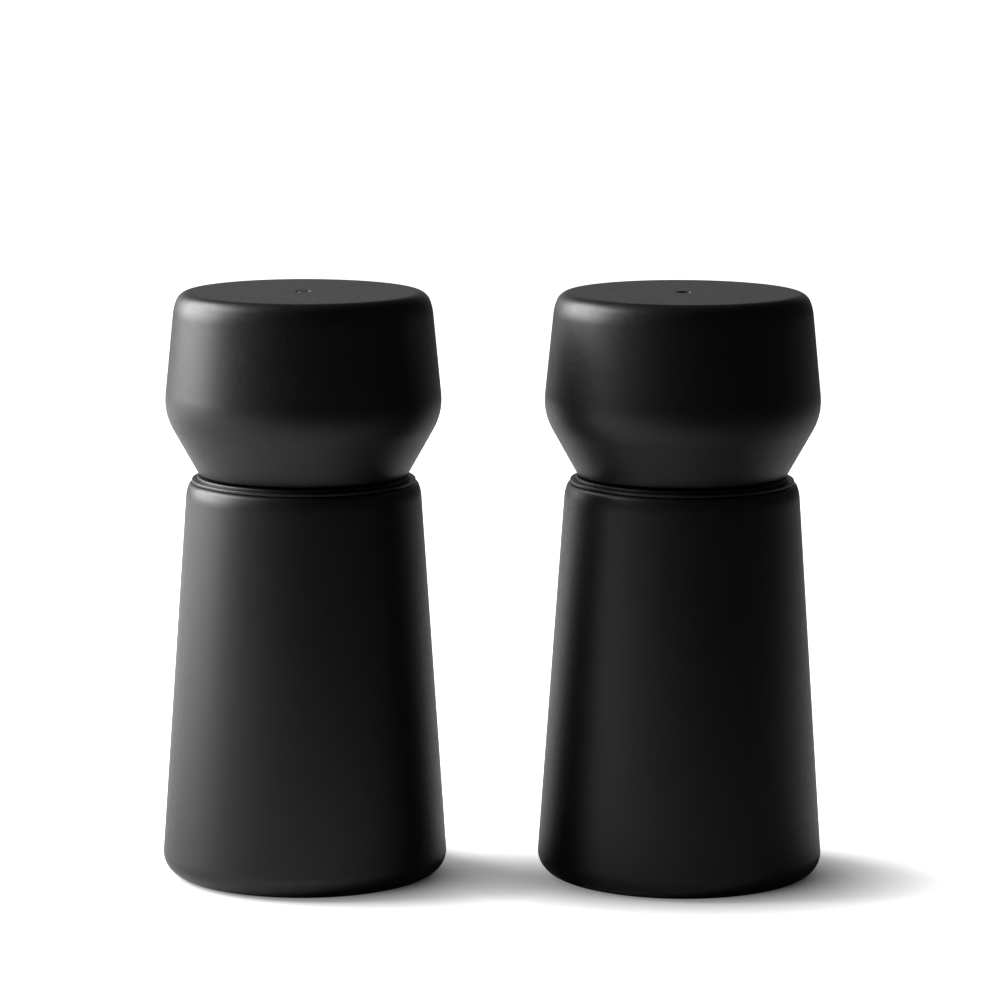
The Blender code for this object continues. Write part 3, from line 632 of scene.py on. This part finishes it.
FINISHES = {
    "black_lacquer": make_lacquer(),
    "bare_beech": make_beech(),
    "collar_plastic": make_plastic("collar_plastic", COLLAR_SHADES, rough=0.42),
    "grey_plastic": make_plastic("grey_plastic", GREY_SHADES, rough=0.48),
    "knob_plastic": make_plastic("knob_plastic", KNOB_SHADES, rough=0.5),
    "bush_plastic": make_plastic("bush_plastic", BUSH_SHADES, rough=0.36),
    "shaft_aluminium": make_aluminium(),
    "spring_steel": make_steel(),
    "grinder_ceramic": make_ceramic(),
    "grip_rubber": make_rubber(),
}


# Pieces


def add_piece(mill, node, mesh, *inner_finishes):
    """Adds a fine piece that stands for a solid, on the solid's own body and in its finish."""
    name = f"{mill.name}_{node}"
    for finish in (SLOT_OF[name], *inner_finishes):
        mesh.materials.append(FINISHES[finish])
    mesh.shade_smooth()
    mesh.set_sharp_from_angle(angle=SHARP_ANGLE)
    piece = bpy.data.objects.new(f"{name}_fine", mesh)
    bpy.context.scene.collection.objects.link(piece)
    piece.location = (mill.x, 0.0, 0.0)
    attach(piece, BODY_OF[name])
    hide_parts(name)
    return piece


def screw_places(mill):
    """Returns the place of each housing screw round the mill's axis."""
    places = []
    for number in (1, 2):
        low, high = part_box(f"{mill.name}_housing_screw_{number}")
        places.append(((low.x + high.x) / 2 - mill.x, (low.y + high.y) / 2))
    return places


def make_body_shell(mill):
    """The turned body, lacquered outside and bare inside."""
    shell, collar = span(mill, "body_shell"), span(mill, "neck_collar")
    screw = span(mill, "housing_screw_1")
    top, seat = shell.high - NECK_DROP, collar.low - FIT
    corners = [
        Corner(COLLAR_SEAT, top, EDGE),
        Corner(SHOULDER_RADIUS, top, SHOULDER_ROUND),
        Corner(BREAST_RADIUS, top - BREAST_DROP, BREAST_ROUND),
        Corner(BASE_RADIUS, shell.low, BASE_ROUND),
        Corner(RECESS_RADIUS, shell.low, EDGE),
        Corner(RECESS_RADIUS, RECESS_TOP, finish=BARE),
        Corner(CHAMBER_RADIUS, RECESS_TOP, EDGE, finish=BARE),
        Corner(CHAMBER_RADIUS, seat, EDGE, finish=BARE),
        Corner(COLLAR_SEAT, seat, finish=BARE),
    ]
    holes = [pin(SCREW_HOLE, RECESS_TOP - CUT, screw.high + FIT, x, y) for x, y in screw_places(mill)]
    mesh = combined(turned(corners, TURN_STEPS), holes, "DIFFERENCE")
    add_piece(mill, "body_shell", mesh, "bare_beech")


def make_neck_collar(mill):
    """The dark ring in the neck, with a stepped lip over the body's top."""
    collar = span(mill, "neck_collar")
    top = collar.high - LIP_DROP
    step, under = top - BEAD_HEIGHT, top - LIP_HEIGHT
    corners = [
        Corner(COLLAR_BORE, top, EDGE),
        Corner(BEAD_RADIUS, top, BEAD_ROUND),
        Corner(BEAD_RADIUS, step),
        Corner(LIP_RADIUS, step, BEAD_ROUND),
        Corner(LIP_RADIUS, under, BEAD_ROUND / 2),
        Corner(COLLAR_RADIUS, under),
        Corner(COLLAR_RADIUS, collar.low, EDGE),
        Corner(COLLAR_BORE, collar.low, EDGE),
    ]
    add_piece(mill, "neck_collar", turned(corners, TURN_STEPS))


def make_head_shell(mill):
    """The turned head with its small mark on top, lacquered outside and bare in its bore."""
    head = span(mill, "head_shell")
    top, foot = head.high - TOP_DROP, head.low - FOOT_DROP
    floor, bore_top = top - MARK_DEPTH, head.low + HEAD_BORE_DEPTH
    if mill.ring_mark:
        inner = MARK_RADIUS - MARK_LINE
        mark = [Corner(0.0, top), Corner(inner, top, MARK_ROUND), Corner(inner, floor, MARK_ROUND)]
    else:
        mark = [Corner(0.0, floor)]
    corners = [
        *mark,
        Corner(MARK_RADIUS, floor, MARK_ROUND),
        Corner(MARK_RADIUS, top, MARK_ROUND),
        Corner(TOP_RADIUS, top, TOP_ROUND),
        Corner(BROW_RADIUS, top - BROW_DROP, BROW_ROUND),
        Corner(RIDGE_RADIUS, head.low + RIDGE_RISE, RIDGE_ROUND),
        Corner(HEAD_FOOT_RADIUS, foot, HEAD_FOOT_ROUND),
        Corner(HEAD_BORE, foot, EDGE, finish=BARE),
        Corner(HEAD_BORE, bore_top, EDGE, finish=BARE),
        Corner(0.0, bore_top, finish=BARE),
    ]
    add_piece(mill, "head_shell", turned(corners, TURN_STEPS, closed=False), "bare_beech")


def make_head_insert(mill):
    """The moulded plug in the head, with a hollow spigot stiffened by webs round its square socket."""
    insert = span(mill, "head_insert")
    floor = insert.high - GRIP_DEPTH
    shelf = insert.low + SPIGOT_LENGTH
    ceiling = shelf - SPIGOT_FLOOR
    corners = [
        Corner(SOCKET_FLAT, floor, sides=SQUARE),
        Corner(GRIP_RECESS, floor, EDGE),
        Corner(GRIP_RECESS, insert.high, EDGE),
        Corner(INSERT_RADIUS, insert.high, SOFT_EDGE),
        Corner(INSERT_RADIUS, shelf, EDGE),
        Corner(insert.radius, shelf, EDGE),
        Corner(insert.radius, insert.low, SOFT_EDGE),
        Corner(SKIRT_BORE, insert.low, EDGE),
        Corner(SKIRT_BORE, ceiling, EDGE),
        Corner(SPIGOT_HUB, ceiling, EDGE),
        Corner(SPIGOT_HUB, insert.low, EDGE),
        Corner(SOCKET_MOUTH, insert.low, sides=SQUARE),
        Corner(SOCKET_FLAT, insert.low + SOCKET_LEAD, sides=SQUARE),
    ]
    webs = []
    for number in range(WEB_COUNT):
        turn = 2 * math.pi * (number + 0.5) / WEB_COUNT
        webs.append(block(SPIGOT_HUB - EDGE, SKIRT_BORE + EDGE, WEB_THICKNESS, insert.low + WEB_SETBACK,
                          ceiling + EDGE, turn))
    add_piece(mill, "head_insert", combined(turned(corners), webs, "UNION"))


def make_grip_ring(mill):
    """The rubber ring in the insert that grips the shaft's corners."""
    grip = span(mill, "grip_ring")
    radius = GRIP_RECESS - FIT
    mesh = split_ring(GRIP_BORE, radius, grip.low, grip.high, GRIP_OPENING, SOFT_EDGE)
    add_piece(mill, "grip_ring", mesh)


def thread_rings(core, depth, pitch, high, low, count):
    """Returns rings of points down a thread."""
    steps = math.ceil((high - low) / pitch * THREAD_RINGS)
    heights = [high + (low - high) * step / steps for step in range(steps + 1)]
    return [ring(height, threaded(core, depth, pitch, height), count) for height in heights]


def make_drive_shaft(mill):
    """The shaft: square bar, flange, grooved journal, lower square and threaded end."""
    shaft, clip, washer = span(mill, "drive_shaft"), span(mill, "shaft_clip"), span(mill, "thrust_washer")
    core = THREAD_RADIUS - THREAD_DEPTH
    corners = [
        Corner(0.0, shaft.high),
        Corner(SHAFT_FLAT - SHAFT_TIP, shaft.high, sides=SQUARE),
        Corner(SHAFT_FLAT, shaft.high - SHAFT_TIP, sides=SQUARE),
        Corner(SHAFT_FLAT, FLANGE_TOP, sides=SQUARE),
        Corner(shaft.radius, FLANGE_TOP, EDGE),
        Corner(shaft.radius, FLANGE_BOTTOM, EDGE),
        Corner(JOURNAL_RADIUS, FLANGE_BOTTOM),
        Corner(JOURNAL_RADIUS, clip.high + FIT),
        Corner(GROOVE_RADIUS, clip.high + FIT),
        Corner(GROOVE_RADIUS, clip.low - FIT),
        Corner(JOURNAL_RADIUS, clip.low - FIT),
        Corner(JOURNAL_RADIUS, washer.low, FINE_EDGE),
        Corner(LOWER_FLAT, washer.low, sides=SQUARE),
        Corner(LOWER_FLAT, LOWER_BOTTOM, sides=SQUARE),
        Corner(core, LOWER_BOTTOM),
    ]
    rings, _ = outline_rings(corners, FINE_STEPS, closed=False)
    thread_end = shaft.low + THREAD_DEPTH
    rings += thread_rings(core, THREAD_DEPTH, THREAD_PITCH, LOWER_BOTTOM, thread_end, FINE_STEPS)
    rings.append(ring(shaft.low, core - THREAD_DEPTH, FINE_STEPS))
    rings.append(ring(shaft.low, 0.0, FINE_STEPS))
    add_piece(mill, "drive_shaft", skinned(rings, closed=False))


def make_bearing_bush(mill):
    """The flanged bush in the housing's hub."""
    bush, housing = span(mill, "bearing_bush"), span(mill, "grinder_housing")
    seat = housing.high + FIT
    corners = [
        Corner(BUSH_BORE, bush.high, FINE_EDGE),
        Corner(bush.radius, bush.high, EDGE),
        Corner(bush.radius, seat, FINE_EDGE),
        Corner(BUSH_RADIUS, seat),
        Corner(BUSH_RADIUS, bush.low, FINE_EDGE),
        Corner(BUSH_BORE, bush.low, FINE_EDGE),
    ]
    add_piece(mill, "bearing_bush", turned(corners))


def make_shaft_clip(mill):
    """The split clip in the journal's groove, which stands on lugs."""
    clip = span(mill, "shaft_clip")
    lugs = [math.pi * (2 * number + 1) / CLIP_LUGS for number in range(CLIP_LUGS)]

    def inner(angle):
        distance = min(abs(angle - lug) for lug in lugs)
        share = min(1.0, max(0.0, distance / CLIP_LUG - 0.5))
        return GROOVE_RADIUS + FIT + share * CLIP_RELIEF
    mesh = split_ring(inner, JOURNAL_RADIUS + CLIP_REACH, clip.low, clip.high, CLIP_OPENING, FINE_EDGE)
    add_piece(mill, "shaft_clip", mesh)


def make_thrust_washer(mill):
    """The washer between the clip and the spring."""
    washer = span(mill, "thrust_washer")
    corners = tube(WASHER_BORE, washer.radius, washer.low, washer.high, FINE_EDGE)
    add_piece(mill, "thrust_washer", turned(corners))


def make_grinder_spring(mill):
    """The spring over the rotor: one wire with closed, ground ends."""
    spring = span(mill, "grinder_spring")
    low, high = spring.low + SPRING_WIRE / 2, spring.high - SPRING_WIRE / 2
    dead_rise = SPRING_DEAD_TURNS * SPRING_WIRE * SPRING_DEAD_RISE
    live_turns = SPRING_TURNS - 2 * SPRING_DEAD_TURNS
    pitch = (high - low - 2 * dead_rise) / live_turns
    slope = pitch / (2 * math.pi * SPRING_RADIUS)
    sections = []
    for number in range(SPRING_TURNS * SPRING_STEPS + 1):
        turns = number / SPRING_STEPS
        rise = dead_rise * min(turns / SPRING_DEAD_TURNS, 1.0)
        rise += pitch * min(max(turns - SPRING_DEAD_TURNS, 0.0), live_turns)
        rise += dead_rise * max(turns - SPRING_DEAD_TURNS - live_turns, 0.0) / SPRING_DEAD_TURNS
        angle = 2 * math.pi * turns
        outward = Vector((math.cos(angle), math.sin(angle), 0.0))
        along = Vector((-math.sin(angle), math.cos(angle), slope)).normalized()
        across = along.cross(outward)
        centre = outward * SPRING_RADIUS + Vector((0.0, 0.0, low + rise))
        section = []
        for step in range(WIRE_STEPS):
            turn = 2 * math.pi * step / WIRE_STEPS
            point = centre + (outward * math.cos(turn) + across * math.sin(turn)) * SPRING_WIRE / 2
            point.z = min(max(point.z, spring.low), spring.high)
            section.append(point)
        sections.append(section)
    piece = add_piece(mill, "grinder_spring", skinned(sections, closed=False))
    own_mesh(piece)


def make_rotor_carrier(mill):
    """The hub that slides on the shaft, with a hexagonal barrel for the cone."""
    carrier = span(mill, "rotor_carrier")
    flange = carrier.low + CARRIER_FLANGE_HEIGHT
    corners = [
        Corner(CARRIER_HOLE_FLAT, carrier.high, FINE_EDGE, SQUARE),
        Corner(CARRIER_HEX_FLAT, carrier.high, EDGE, HEXAGON),
        Corner(CARRIER_HEX_FLAT, flange, sides=HEXAGON),
        Corner(carrier.radius, flange, EDGE),
        Corner(carrier.radius, carrier.low, EDGE),
        Corner(CARRIER_HOLE_FLAT, carrier.low, FINE_EDGE, SQUARE),
    ]
    add_piece(mill, "rotor_carrier", turned(corners))


def toothed_ring(height, crest, turn=0.0):
    """Returns a ring of points round the grinder's teeth."""
    return ring(height, toothed(TOOTH_COUNT, crest, TOOTH_DEPTH, turn), TOOTH_COUNT * TOOTH_STEPS)


def make_ceramic_cone(mill):
    """The toothed cone on the carrier, with teeth that twist upwards."""
    cone = span(mill, "ceramic_cone")
    hexagon = polygon(HEXAGON, CONE_HEX_FLAT)
    count = TOOTH_COUNT * TOOTH_STEPS
    rings = [ring(cone.low, hexagon, count), toothed_ring(cone.low, cone.radius - EDGE)]
    for level in range(CONE_LEVELS):
        share = level / (CONE_LEVELS - 1)
        height = cone.low + EDGE + (cone.high - cone.low - 2 * EDGE) * share
        crest = cone.radius + (CONE_TOP_RADIUS - cone.radius) * share
        rings.append(toothed_ring(height, crest, CONE_TWIST * share))
    rings.append(toothed_ring(cone.high, CONE_TOP_RADIUS - EDGE, CONE_TWIST))
    rings.append(ring(cone.high, hexagon, count))
    add_piece(mill, "ceramic_cone", skinned(rings))


def make_ceramic_ring(mill):
    """The toothed ring round the cone, narrowest at its throat."""
    outer = span(mill, "ceramic_ring")
    radius = HOUSING_BORE - FIT
    count = TOOTH_COUNT * TOOTH_STEPS
    throat = outer.low + THROAT_RISE
    corners = [
        Corner(RING_MOUTH, outer.high),
        Corner(radius, outer.high, SOFT_EDGE),
        Corner(radius, outer.low, SOFT_EDGE),
        Corner(RING_MOUTH, outer.low),
    ]
    outside = softened(corners, closed=False)[1:-1]
    rings = [toothed_ring(outer.high, RING_MOUTH)]
    rings += [ring(point.height, point.radius, count) for point in outside]
    rings.append(toothed_ring(outer.low, RING_MOUTH))
    rings.append(toothed_ring(throat - EDGE, RING_THROAT + EDGE / 2))
    rings.append(toothed_ring(throat, RING_THROAT))
    rings.append(toothed_ring(throat + EDGE, RING_THROAT + EDGE / 4))
    add_piece(mill, "ceramic_ring", skinned(rings))


def make_retaining_ring(mill):
    """The sprung ring under the outer grinder, with a holed ear on each side of its opening."""
    retainer = span(mill, "retaining_ring")
    low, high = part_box(f"{mill.name}_retaining_ring")
    radius = (high.y - low.y) / 2
    ear_start = math.asin(RETAINER_OPENING / 2 / RETAINER_BORE)

    def inner(angle):
        gap = min(angle, 2 * math.pi - angle) - ear_start
        share = min(1.0, max(0.0, (EAR_TURN - gap) / (EAR_SLOPE * EAR_TURN)))
        return RETAINER_BORE - EAR_DEPTH * share
    wire = split_ring(inner, radius, retainer.low, retainer.high, RETAINER_OPENING, EDGE)
    holes = []
    for side in (-1, 1):
        angle = side * (ear_start + EAR_HOLE_TURN * EAR_TURN)
        reach = RETAINER_BORE - EAR_HOLE_DEPTH * EAR_DEPTH
        x, y = reach * math.cos(angle), reach * math.sin(angle)
        holes.append(pin(EAR_HOLE, retainer.low - CUT, retainer.high + CUT, x, y))
    add_piece(mill, "retaining_ring", combined(wire, holes, "DIFFERENCE"))


def make_grinder_housing(mill):
    """The moulded tube round the grinder, with a screwed flange below and a spoked bridge above."""
    housing, retainer = span(mill, "grinder_housing"), span(mill, "retaining_ring")
    screw = span(mill, "housing_screw_1")
    flange = housing.low + FLANGE_THICKNESS
    under = housing.low + UNDER_GROOVE_DEPTH
    corners = [
        Corner(HOPPER_RADIUS, housing.high, EDGE),
        Corner(HOUSING_RADIUS, housing.high, EDGE),
        Corner(HOUSING_RADIUS, flange, EDGE),
        Corner(housing.radius, flange, EDGE),
        Corner(housing.radius, housing.low, SOFT_EDGE),
        Corner(UNDER_GROOVE_OUTER, housing.low, FINE_EDGE),
        Corner(UNDER_GROOVE_OUTER, under, FINE_EDGE),
        Corner(UNDER_GROOVE_INNER, under, FINE_EDGE),
        Corner(UNDER_GROOVE_INNER, housing.low, FINE_EDGE),
        Corner(HOUSING_BORE, housing.low, EDGE),
        Corner(HOUSING_BORE, retainer.low - FIT),
        Corner(GROOVE_WALL, retainer.low - FIT),
        Corner(GROOVE_WALL, retainer.high + FIT),
        Corner(HOUSING_BORE, retainer.high + FIT),
        Corner(HOUSING_BORE, LEDGE_BOTTOM),
        Corner(LEDGE_RADIUS, LEDGE_BOTTOM),
        Corner(LEDGE_RADIUS, LEDGE_TOP, EDGE),
        Corner(HOPPER_RADIUS, LEDGE_TOP + HOPPER_RADIUS - LEDGE_RADIUS, EDGE),
    ]
    hub_low = housing.high - HUB_HEIGHT
    hub = turned(tube(HUB_BORE, HUB_RADIUS, hub_low, housing.high))
    reach_in, reach_out = (HUB_BORE + HUB_RADIUS) / 2, (HOPPER_RADIUS + HOUSING_RADIUS) / 2
    spokes = []
    for number in range(SPOKE_COUNT):
        turn = 2 * math.pi * number / SPOKE_COUNT
        low, high = hub_low + EDGE, housing.high - EDGE
        spokes.append(block(reach_in, reach_out, SPOKE_WIDTH, low, high, turn, SOFT_EDGE))
    mesh = combined(turned(corners), [*spokes, hub], "UNION")
    holes = []
    for x, y in screw_places(mill):
        holes.append(pin(SCREW_HOLE, housing.low - CUT, flange + CUT, x, y))
        holes.append(pin(SCREW_SINK, housing.low - CUT, screw.low + SCREW_HEAD_HEIGHT + FIT, x, y))
    add_piece(mill, "grinder_housing", combined(mesh, holes, "DIFFERENCE"))


def make_housing_screws(mill):
    """The wood screws in the flange: a domed slotted head and a threaded shank."""
    for number, (x, y) in enumerate(screw_places(mill), 1):
        node = f"housing_screw_{number}"
        screw = span(mill, node)
        neck = screw.low + SCREW_HEAD_HEIGHT
        corners = [
            Corner(0.0, screw.low),
            Corner(screw.radius, screw.low, SOFT_EDGE),
            Corner(screw.radius, neck, FINE_EDGE),
            Corner(SCREW_SHANK, neck),
        ]
        rings, _ = outline_rings(corners, PIN_STEPS, closed=False)
        thread_start, thread_end = neck + SCREW_PITCH, screw.high - 2 * SCREW_SHANK
        depth = SCREW_SHANK - SCREW_CORE
        rings += thread_rings(SCREW_CORE, depth, SCREW_PITCH, thread_end, thread_start, PIN_STEPS)[::-1]
        rings.append(ring(screw.high - SCREW_CORE, SCREW_CORE * SCREW_TAPER, PIN_STEPS))
        rings.append(ring(screw.high, 0.0, PIN_STEPS))
        reach = 2 * screw.radius
        slot = block(-reach, reach, SLOT_WIDTH, screw.low - CUT, screw.low + SLOT_DEPTH, turn=0.0, edge=0.0)
        mesh = combined(skinned(rings, closed=False), [slot], "DIFFERENCE")
        mesh.transform(Matrix.Translation((x, y, 0.0)))
        add_piece(mill, node, mesh)


def make_adjust_knob(mill):
    """The fluted nut under the grinder, threaded on the shaft."""
    knob = span(mill, "adjust_knob")
    count = KNOB_FLUTES * KNOB_STEPS
    core = THREAD_RADIUS - THREAD_DEPTH + THREAD_PLAY

    def grip(height, setback):
        def reach(angle):
            wave = (1 - math.cos(KNOB_FLUTES * angle)) / 2
            return knob.radius - setback - FLUTE_DEPTH * wave ** 2
        return ring(height, reach, count)
    high, low = knob.high - EDGE, knob.low + 2 * EDGE
    rings = thread_rings(core, THREAD_DEPTH, THREAD_PITCH, high, low, count)[::-1]
    mouth = core + THREAD_DEPTH + EDGE
    rings.append(ring(knob.high, mouth, count))
    turns = [math.pi / 2 * step / KNOB_ARC_STEPS for step in range(KNOB_ARC_STEPS + 1)]
    for turn in turns:
        rings.append(grip(knob.high - KNOB_EDGE * (1 - math.cos(turn)), KNOB_EDGE * (1 - math.sin(turn))))
    for turn in turns:
        rings.append(grip(knob.low + KNOB_EDGE * (1 - math.sin(turn)), KNOB_EDGE * (1 - math.cos(turn))))
    corners = [
        Corner(KNOB_DISH_OUTER + 2 * EDGE, knob.low),
        Corner(KNOB_DISH_OUTER, knob.low, EDGE),
        Corner(KNOB_DISH_OUTER, knob.low + KNOB_DISH, EDGE),
        Corner(KNOB_DISH_INNER, knob.low + KNOB_DISH, EDGE),
        Corner(KNOB_DISH_INNER, knob.low, EDGE),
        Corner(mouth, knob.low),
    ]
    dish = softened(corners, closed=False)
    rings += [ring(point.height, point.radius, count) for point in dish]
    add_piece(mill, "adjust_knob", skinned(rings))


def build_mill(mill):
    """Builds every fine piece of one mill."""
    for make in (make_body_shell, make_neck_collar, make_head_shell, make_head_insert, make_grip_ring,
                 make_drive_shaft, make_bearing_bush, make_shaft_clip, make_thrust_washer,
                 make_grinder_spring, make_rotor_carrier, make_ceramic_cone, make_ceramic_ring,
                 make_retaining_ring, make_grinder_housing, make_housing_screws, make_adjust_knob):
        make(mill)


# Stage


def make_floor(mills):
    """A white floor that keeps the real shadows beside the mills, with a painted shadow round each mill's
    place.
    """
    mesh = bpy.data.meshes.new("floor")
    bm = bmesh.new()
    bmesh.ops.create_circle(bm, cap_ends=True, segments=FLOOR_STEPS, radius=FLOOR_RADIUS)
    bm.to_mesh(mesh)
    bm.free()
    mesh.materials.append(make_floor_material(mills))
    floor = bpy.data.objects.new("floor", mesh)
    floor.location = (0.0, 0.0, -FLOOR_DROP)
    bpy.context.scene.collection.objects.link(floor)


def make_floor_material(mills):
    """White to the camera past a painted shadow round each mill over the real shadows, with a dark card for
    other rays, and clear from below.
    """
    material = bpy.data.materials.new("white_floor")
    material.use_nodes = True
    tree = material.node_tree
    tree.nodes.clear()
    add, ramp, link = node_maker(tree), ramp_maker(tree), tree.links.new
    place = add("ShaderNodeTexCoord").outputs["Object"]
    camera_ray = add("ShaderNodeLightPath").outputs["Is Camera Ray"]
    squeeze = add("ShaderNodeVectorMath", "MULTIPLY")
    squeeze.inputs[1].default_value = PAINTED_SHADOW_SQUEEZE
    link(place, squeeze.inputs[0])
    # The glow for the camera fades near each mill's place at rest, which paints a shadow there that stays
    # put when a mill is lifted.
    glow = camera_ray
    offset_x, offset_y = PAINTED_SHADOW_CENTRE
    for mill in mills:
        distance = add("ShaderNodeVectorMath", "DISTANCE")
        centre = Vector((mill.x + offset_x, offset_y, 0.0))
        distance.inputs[1].default_value = centre * Vector(PAINTED_SHADOW_SQUEEZE)
        link(squeeze.outputs["Vector"], distance.inputs[0])
        product = add("ShaderNodeMath", "MULTIPLY")
        link(glow, product.inputs[0])
        link(ramp(distance.outputs["Value"], PAINTED_SHADOW_REACH, (PAINTED_SHADOW_LIFT, 1.0), "LINEAR"), product.inputs[1])
        glow = product.outputs["Value"]
    light = add("ShaderNodeEmission")
    link(glow, light.inputs["Strength"])
    toward = add("ShaderNodeVectorMath", "DOT_PRODUCT")
    toward.inputs[1].default_value = CARD_SIDE
    link(place, toward.inputs[0])
    tone = add("ShaderNodeMix", B=FLOOR_SHADE)
    link(camera_ray, tone.inputs["Factor"])
    link(ramp(toward.outputs["Value"], CARD_REACH, (FLOOR_SHADE, CARD_SHADE)), tone.inputs["A"])
    surface = add("ShaderNodeBsdfDiffuse")
    link(tone.outputs["Result"], surface.inputs["Color"])
    both = add("ShaderNodeAddShader")
    link(surface.outputs["BSDF"], both.inputs[0])
    link(light.outputs["Emission"], both.inputs[1])
    choose = add("ShaderNodeMixShader")
    link(add("ShaderNodeNewGeometry").outputs["Backfacing"], choose.inputs["Fac"])
    link(both.outputs["Shader"], choose.inputs[1])
    link(add("ShaderNodeBsdfTransparent").outputs["BSDF"], choose.inputs[2])
    link(choose.outputs["Shader"], add("ShaderNodeOutputMaterial").inputs["Surface"])
    return material


def make_world():
    """A dim room with a low pale backdrop behind the mills, plain white to the camera."""
    world = bpy.data.worlds.new("studio")
    bpy.context.scene.world = world
    world.use_nodes = True
    tree = world.node_tree
    tree.nodes.clear()
    add, ramp, link = node_maker(tree), ramp_maker(tree), tree.links.new
    view = add("ShaderNodeTexCoord").outputs["Generated"]
    toward = add("ShaderNodeVectorMath", "DOT_PRODUCT")
    toward.inputs[1].default_value = ROOM_SIDE
    link(view, toward.inputs[0])
    split = add("ShaderNodeSeparateXYZ")
    link(view, split.inputs["Vector"])
    pale = add("ShaderNodeMath", "MULTIPLY")
    link(ramp(toward.outputs["Value"], ROOM_REACH, (0.0, ROOM_PALE)), pale.inputs[0])
    link(ramp(split.outputs["Z"], BACKDROP_RISE, (1.0, 0.0)), pale.inputs[1])
    level = add("ShaderNodeMath", "ADD")
    level.inputs[1].default_value = ROOM_DIM
    link(pale.outputs["Value"], level.inputs[0])
    room = add("ShaderNodeBackground")
    link(level.outputs["Value"], room.inputs["Strength"])
    white = add("ShaderNodeBackground", Color=(1.0, 1.0, 1.0, 1.0))
    choose = add("ShaderNodeMixShader")
    link(add("ShaderNodeLightPath").outputs["Is Camera Ray"], choose.inputs["Fac"])
    link(room.outputs["Background"], choose.inputs[1])
    link(white.outputs["Background"], choose.inputs[2])
    link(choose.outputs["Shader"], add("ShaderNodeOutputWorld").inputs["Surface"])


def make_softbox():
    """One large softbox on the left, a little behind and above the mills, which the camera doesn't see."""
    lamp = bpy.data.lights.new("left_softbox", "AREA")
    lamp.shape = "RECTANGLE"
    lamp.size = SOFTBOX_WIDTH
    lamp.size_y = SOFTBOX_HEIGHT
    lamp.energy = SOFTBOX_POWER
    obj = bpy.data.objects.new("left_softbox", lamp)
    reach = SOFTBOX_DISTANCE * math.cos(SOFTBOX_RISE)
    offset = Vector((reach * math.cos(SOFTBOX_TURN), reach * math.sin(SOFTBOX_TURN),
                     SOFTBOX_DISTANCE * math.sin(SOFTBOX_RISE)))
    obj.location = Vector(SOFTBOX_TARGET) + offset
    obj.rotation_euler = (-offset).to_track_quat("-Z", "Y").to_euler()
    obj.visible_camera = False
    bpy.context.scene.collection.objects.link(obj)


def make_camera():
    """The camera at the photo's place and angle."""
    camera = bpy.data.cameras.new("camera")
    camera.sensor_width = SENSOR
    camera.lens = FOCAL_PIXELS / IMAGE_SIDE * SENSOR
    camera.clip_start, camera.clip_end = CAMERA_CLIP
    obj = bpy.data.objects.new("camera", camera)
    turn = Matrix.Rotation(math.pi / 2 - CAMERA_PITCH, 4, "X") @ Matrix.Rotation(CAMERA_ROLL, 4, "Z")
    obj.matrix_world = Matrix.Translation(CAMERA_PLACE) @ turn
    bpy.context.scene.collection.objects.link(obj)
    bpy.context.scene.camera = obj


def place_mill(name, ring_mark):
    """Returns a mill that stands on the axis of its body's solid."""
    low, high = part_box(f"{name}_body_shell")
    return Mill(name, (low.x + high.x) / 2, ring_mark)


MILLS = [place_mill("salt", True), place_mill("pepper", False)]
for each_mill in MILLS:
    build_mill(each_mill)
make_floor(MILLS)
make_world()
make_softbox()
make_camera()
bpy.context.scene.view_settings.view_transform = "Standard"
